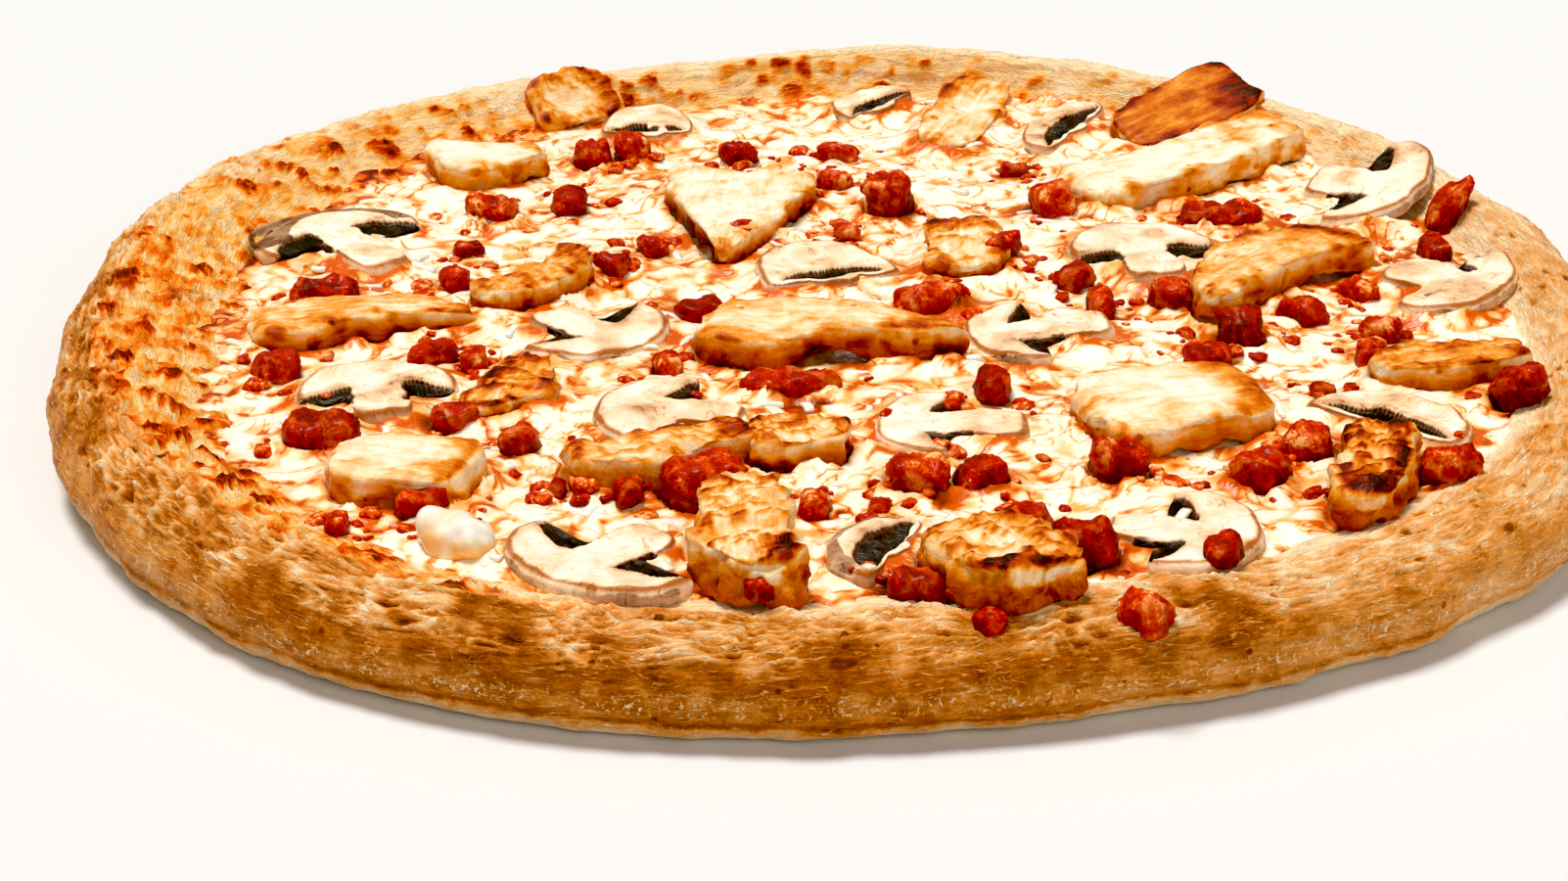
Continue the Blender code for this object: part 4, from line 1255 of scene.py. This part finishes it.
class PIZZA_OT_cheese(bpy.types.Operator):
    """Make the melted cheese and the glossy lump"""
    bl_idname = "pizza.cheese"
    bl_label = "Cheese"

    def execute(self, context):
        sizes, colours = scene_settings()
        stops = ((0.0, colours.cheese_white), (0.4, colours.cheese_cream), (1.0, colours.cheese_tan))
        gloss = food_material("cheese_glossy", stops, stops, mottle=(0.2, 4.0, 2.0), strands=0.05,
                              roughness=(0.25, 0.12), coat=0.6, subsurface=0.2, bump=0.15)
        build_cheese_lump(sizes, gloss)
        build_cheese(sizes, colours)
        return {"FINISHED"}


class PIZZA_OT_scattered(bpy.types.Operator):
    """Scatter the small bits of bacon and the shreds of cheese"""
    bl_idname = "pizza.scattered"
    bl_label = "Scattered bits"

    def execute(self, context):
        sizes, colours = scene_settings()
        surface = height_map(piece_points(TOPPING_ENDINGS + ("_melted", "_baked")))
        surface = spread(surface, 2)[1]
        build_bacon_bits(sizes, surface, bpy.data.materials["bacon_fried"])
        stops = ((0.0, colours.cheese_white), (0.35, colours.cheese_cream), (0.8, colours.cheese_tan))
        shreds = food_material("cheese_shreds", stops, stops, mottle=(0.12, 3.0, 2.0), strands=0.05,
                               roughness=(0.4, 0.2), coat=0.2, subsurface=0.15, bump=0.2)
        build_shreds(sizes, surface, shreds)
        return {"FINISHED"}


class PIZZA_OT_chicken(bpy.types.Operator):
    """Make the chicken pieces"""
    bl_idname = "pizza.chicken"
    bl_label = "Chicken"

    def execute(self, context):
        sizes, colours = scene_settings()
        stops = ((0.0, colours.chicken_white), (0.2, colours.chicken_cream), (0.4, colours.chicken_golden),
                 (0.6, colours.chicken_orange), (0.8, colours.chicken_brown), (1.0, colours.chicken_dark))
        material = food_material("chicken_cooked", stops, stops, mottle=(0.22, 4.0, 4.0), grain=(0.10, 0.5),
                                 strands=0.20, spots=(0.25, 6.0, 0.14), roughness=(0.5, 0.32), specular=0.15,
                                 coat=0.04, bump=0.5)
        for index, piece in enumerate(CHICKEN):
            build_chicken(sizes, piece, material, CHICKEN_SEED + SEED_STEP * index)
        return {"FINISHED"}


class PIZZA_OT_mushrooms(bpy.types.Operator):
    """Make the mushroom slices"""
    bl_idname = "pizza.mushrooms"
    bl_label = "Mushrooms"

    def execute(self, context):
        sizes, colours = scene_settings()
        flesh = ((0.0, colours.mushroom_white), (0.4, colours.mushroom_cream), (1.0, colours.mushroom_tan))
        dark = ((0.0, colours.skin_pale), (0.4, colours.skin_brown), (0.75, colours.gill_brown),
                (1.0, colours.gill_black))
        material = food_material("mushroom_sliced", flesh, dark, mottle=(0.24, 7.0, 3.0), grain=(0.04, 0.6),
                                 strands=0.20, lines=(0.40, 12.0, 0.015), roughness=(0.5, 0.3), specular=0.15,
                                 coat=0.05, subsurface=0.1, bump=0.3)
        for index, piece in enumerate(MUSHROOMS):
            build_mushroom(sizes, piece, material, MUSHROOM_SEED + SEED_STEP * index)
        return {"FINISHED"}


class PIZZA_OT_bacon(bpy.types.Operator):
    """Make the large bacon pieces"""
    bl_idname = "pizza.bacon"
    bl_label = "Bacon"

    def execute(self, context):
        sizes, colours = scene_settings()
        meat = ((0.0, colours.fat_pale), (0.12, colours.meat_orange), (0.38, colours.meat_red),
                (0.7, colours.meat_dark), (1.0, colours.meat_black))
        fat = ((0.0, colours.fat_pale), (0.5, colours.fat_tan), (1.0, colours.meat_red))
        material = food_material("bacon_fried", meat, fat, mottle=(0.45, 2.6, 6.0), grain=(0.40, 0.7),
                                 strands=0.10, spots=(-0.35, 1.8, 0.14), roughness=(0.5, 0.3), specular=0.12,
                                 coat=0.08, bump=0.7)
        for index, piece in enumerate(BACON):
            build_bacon(sizes, piece, material, BACON_SEED + SEED_STEP * index)
        return {"FINISHED"}


def placed_axes(across, up, back, place):
    """The matrix that gives an object three unit axes and a place."""
    columns = np.stack([across, up, back, np.array(place, float)], axis=-1)
    return Matrix([*columns.tolist(), (0, 0, 0, 1)])


def add_camera():
    """The camera at the photograph's angle: looking along +Y, pitched down and slightly rolled."""
    data = bpy.data.cameras.new("camera")
    data.lens = CAMERA_LENS
    data.sensor_width = CAMERA_SENSOR
    pitch = np.radians(CAMERA_PITCH)
    roll = np.radians(CAMERA_ROLL)
    forward = np.array((0, np.cos(pitch), -np.sin(pitch)))
    right = np.array((1.0, 0, 0))
    across = np.cos(roll) * right + np.sin(roll) * np.cross(right, forward)
    camera = link_object("camera", data)
    camera.matrix_world = placed_axes(across, np.cross(across, forward), -forward, CAMERA_PLACE)
    bpy.context.scene.camera = camera


def add_sun(name, place, strength, colour, softness):
    """A soft sun that shines from a place towards the origin, softness its width in degrees."""
    data = bpy.data.lights.new(name, "SUN")
    data.energy = strength
    data.color = colour
    data.angle = np.radians(softness)
    away = np.array(place, float) / np.linalg.norm(place)
    side = np.cross((0.0, 0.0, 1.0), away)
    side /= np.linalg.norm(side)
    link_object(name, data).matrix_world = placed_axes(side, np.cross(away, side), away, place)


def add_floor():
    """A pale plain floor, well beyond what the camera sees."""
    mesh = bpy.data.meshes.new("floor")
    corners = [(x * FLOOR_HALF, y * FLOOR_HALF, FLOOR_LEVEL) for x, y in ((-1, -1), (1, -1), (1, 1), (-1, 1))]
    mesh.from_pydata(corners, [], [(0, 1, 2, 3)])
    material = bpy.data.materials.new("floor")
    material.use_nodes = True
    shader = material.node_tree.nodes["Principled BSDF"]
    shader.inputs["Base Color"].default_value = FLOOR_COLOUR
    shader.inputs["Roughness"].default_value = 0.8
    shader.inputs["Specular IOR Level"].default_value = 0.1
    mesh.materials.append(material)
    link_object("floor", mesh)


class PIZZA_OT_stage(bpy.types.Operator):
    """Make the floor, the studio lights and the camera"""
    bl_idname = "pizza.stage"
    bl_label = "Stage"

    def execute(self, context):
        scene = context.scene
        view = scene.view_settings
        view.view_transform = "Standard"
        view.use_curve_mapping = True
        view.curve_mapping.black_level = BLACK_LEVEL
        view.curve_mapping.update()
        world = bpy.data.worlds.new("studio")
        world.use_nodes = True
        background = world.node_tree.nodes["Background"]
        background.inputs["Color"].default_value = WORLD_COLOUR
        background.inputs["Strength"].default_value = WORLD_STRENGTH
        scene.world = world
        add_sun("key", *KEY_LIGHT)
        add_sun("fill", *FILL_LIGHT)
        add_floor()
        add_camera()
        return {"FINISHED"}


OPERATORS = (PIZZA_OT_stage, PIZZA_OT_crust, PIZZA_OT_chicken, PIZZA_OT_mushrooms, PIZZA_OT_bacon,
             PIZZA_OT_cheese, PIZZA_OT_scattered)


class PIZZA_PT_panel(bpy.types.Panel):
    """Lists the pizza's operators"""
    bl_label = "Chicken ranch pizza"
    bl_space_type = "VIEW_3D"
    bl_region_type = "UI"
    bl_category = "Pizza"

    def draw(self, context):
        for operator in OPERATORS:
            self.layout.operator(operator.bl_idname)


CLASSES = (PizzaSizes, PizzaColours, *OPERATORS, PIZZA_PT_panel)


def register():
    """Registers the add-on's classes and its two groups of settings."""
    for entry in CLASSES:
        bpy.utils.register_class(entry)
    bpy.types.Scene.pizza_sizes = bpy.props.PointerProperty(type=PizzaSizes)
    bpy.types.Scene.pizza_colours = bpy.props.PointerProperty(type=PizzaColours)


def unregister():
    """Takes the settings and the classes away again."""
    del bpy.types.Scene.pizza_colours
    del bpy.types.Scene.pizza_sizes
    for entry in reversed(CLASSES):
        bpy.utils.unregister_class(entry)


def main():
    register()
    for operator in OPERATORS:
        group, name = operator.bl_idname.split(".")
        getattr(getattr(bpy.ops, group), name)()


if __name__ == "__main__":
    main()
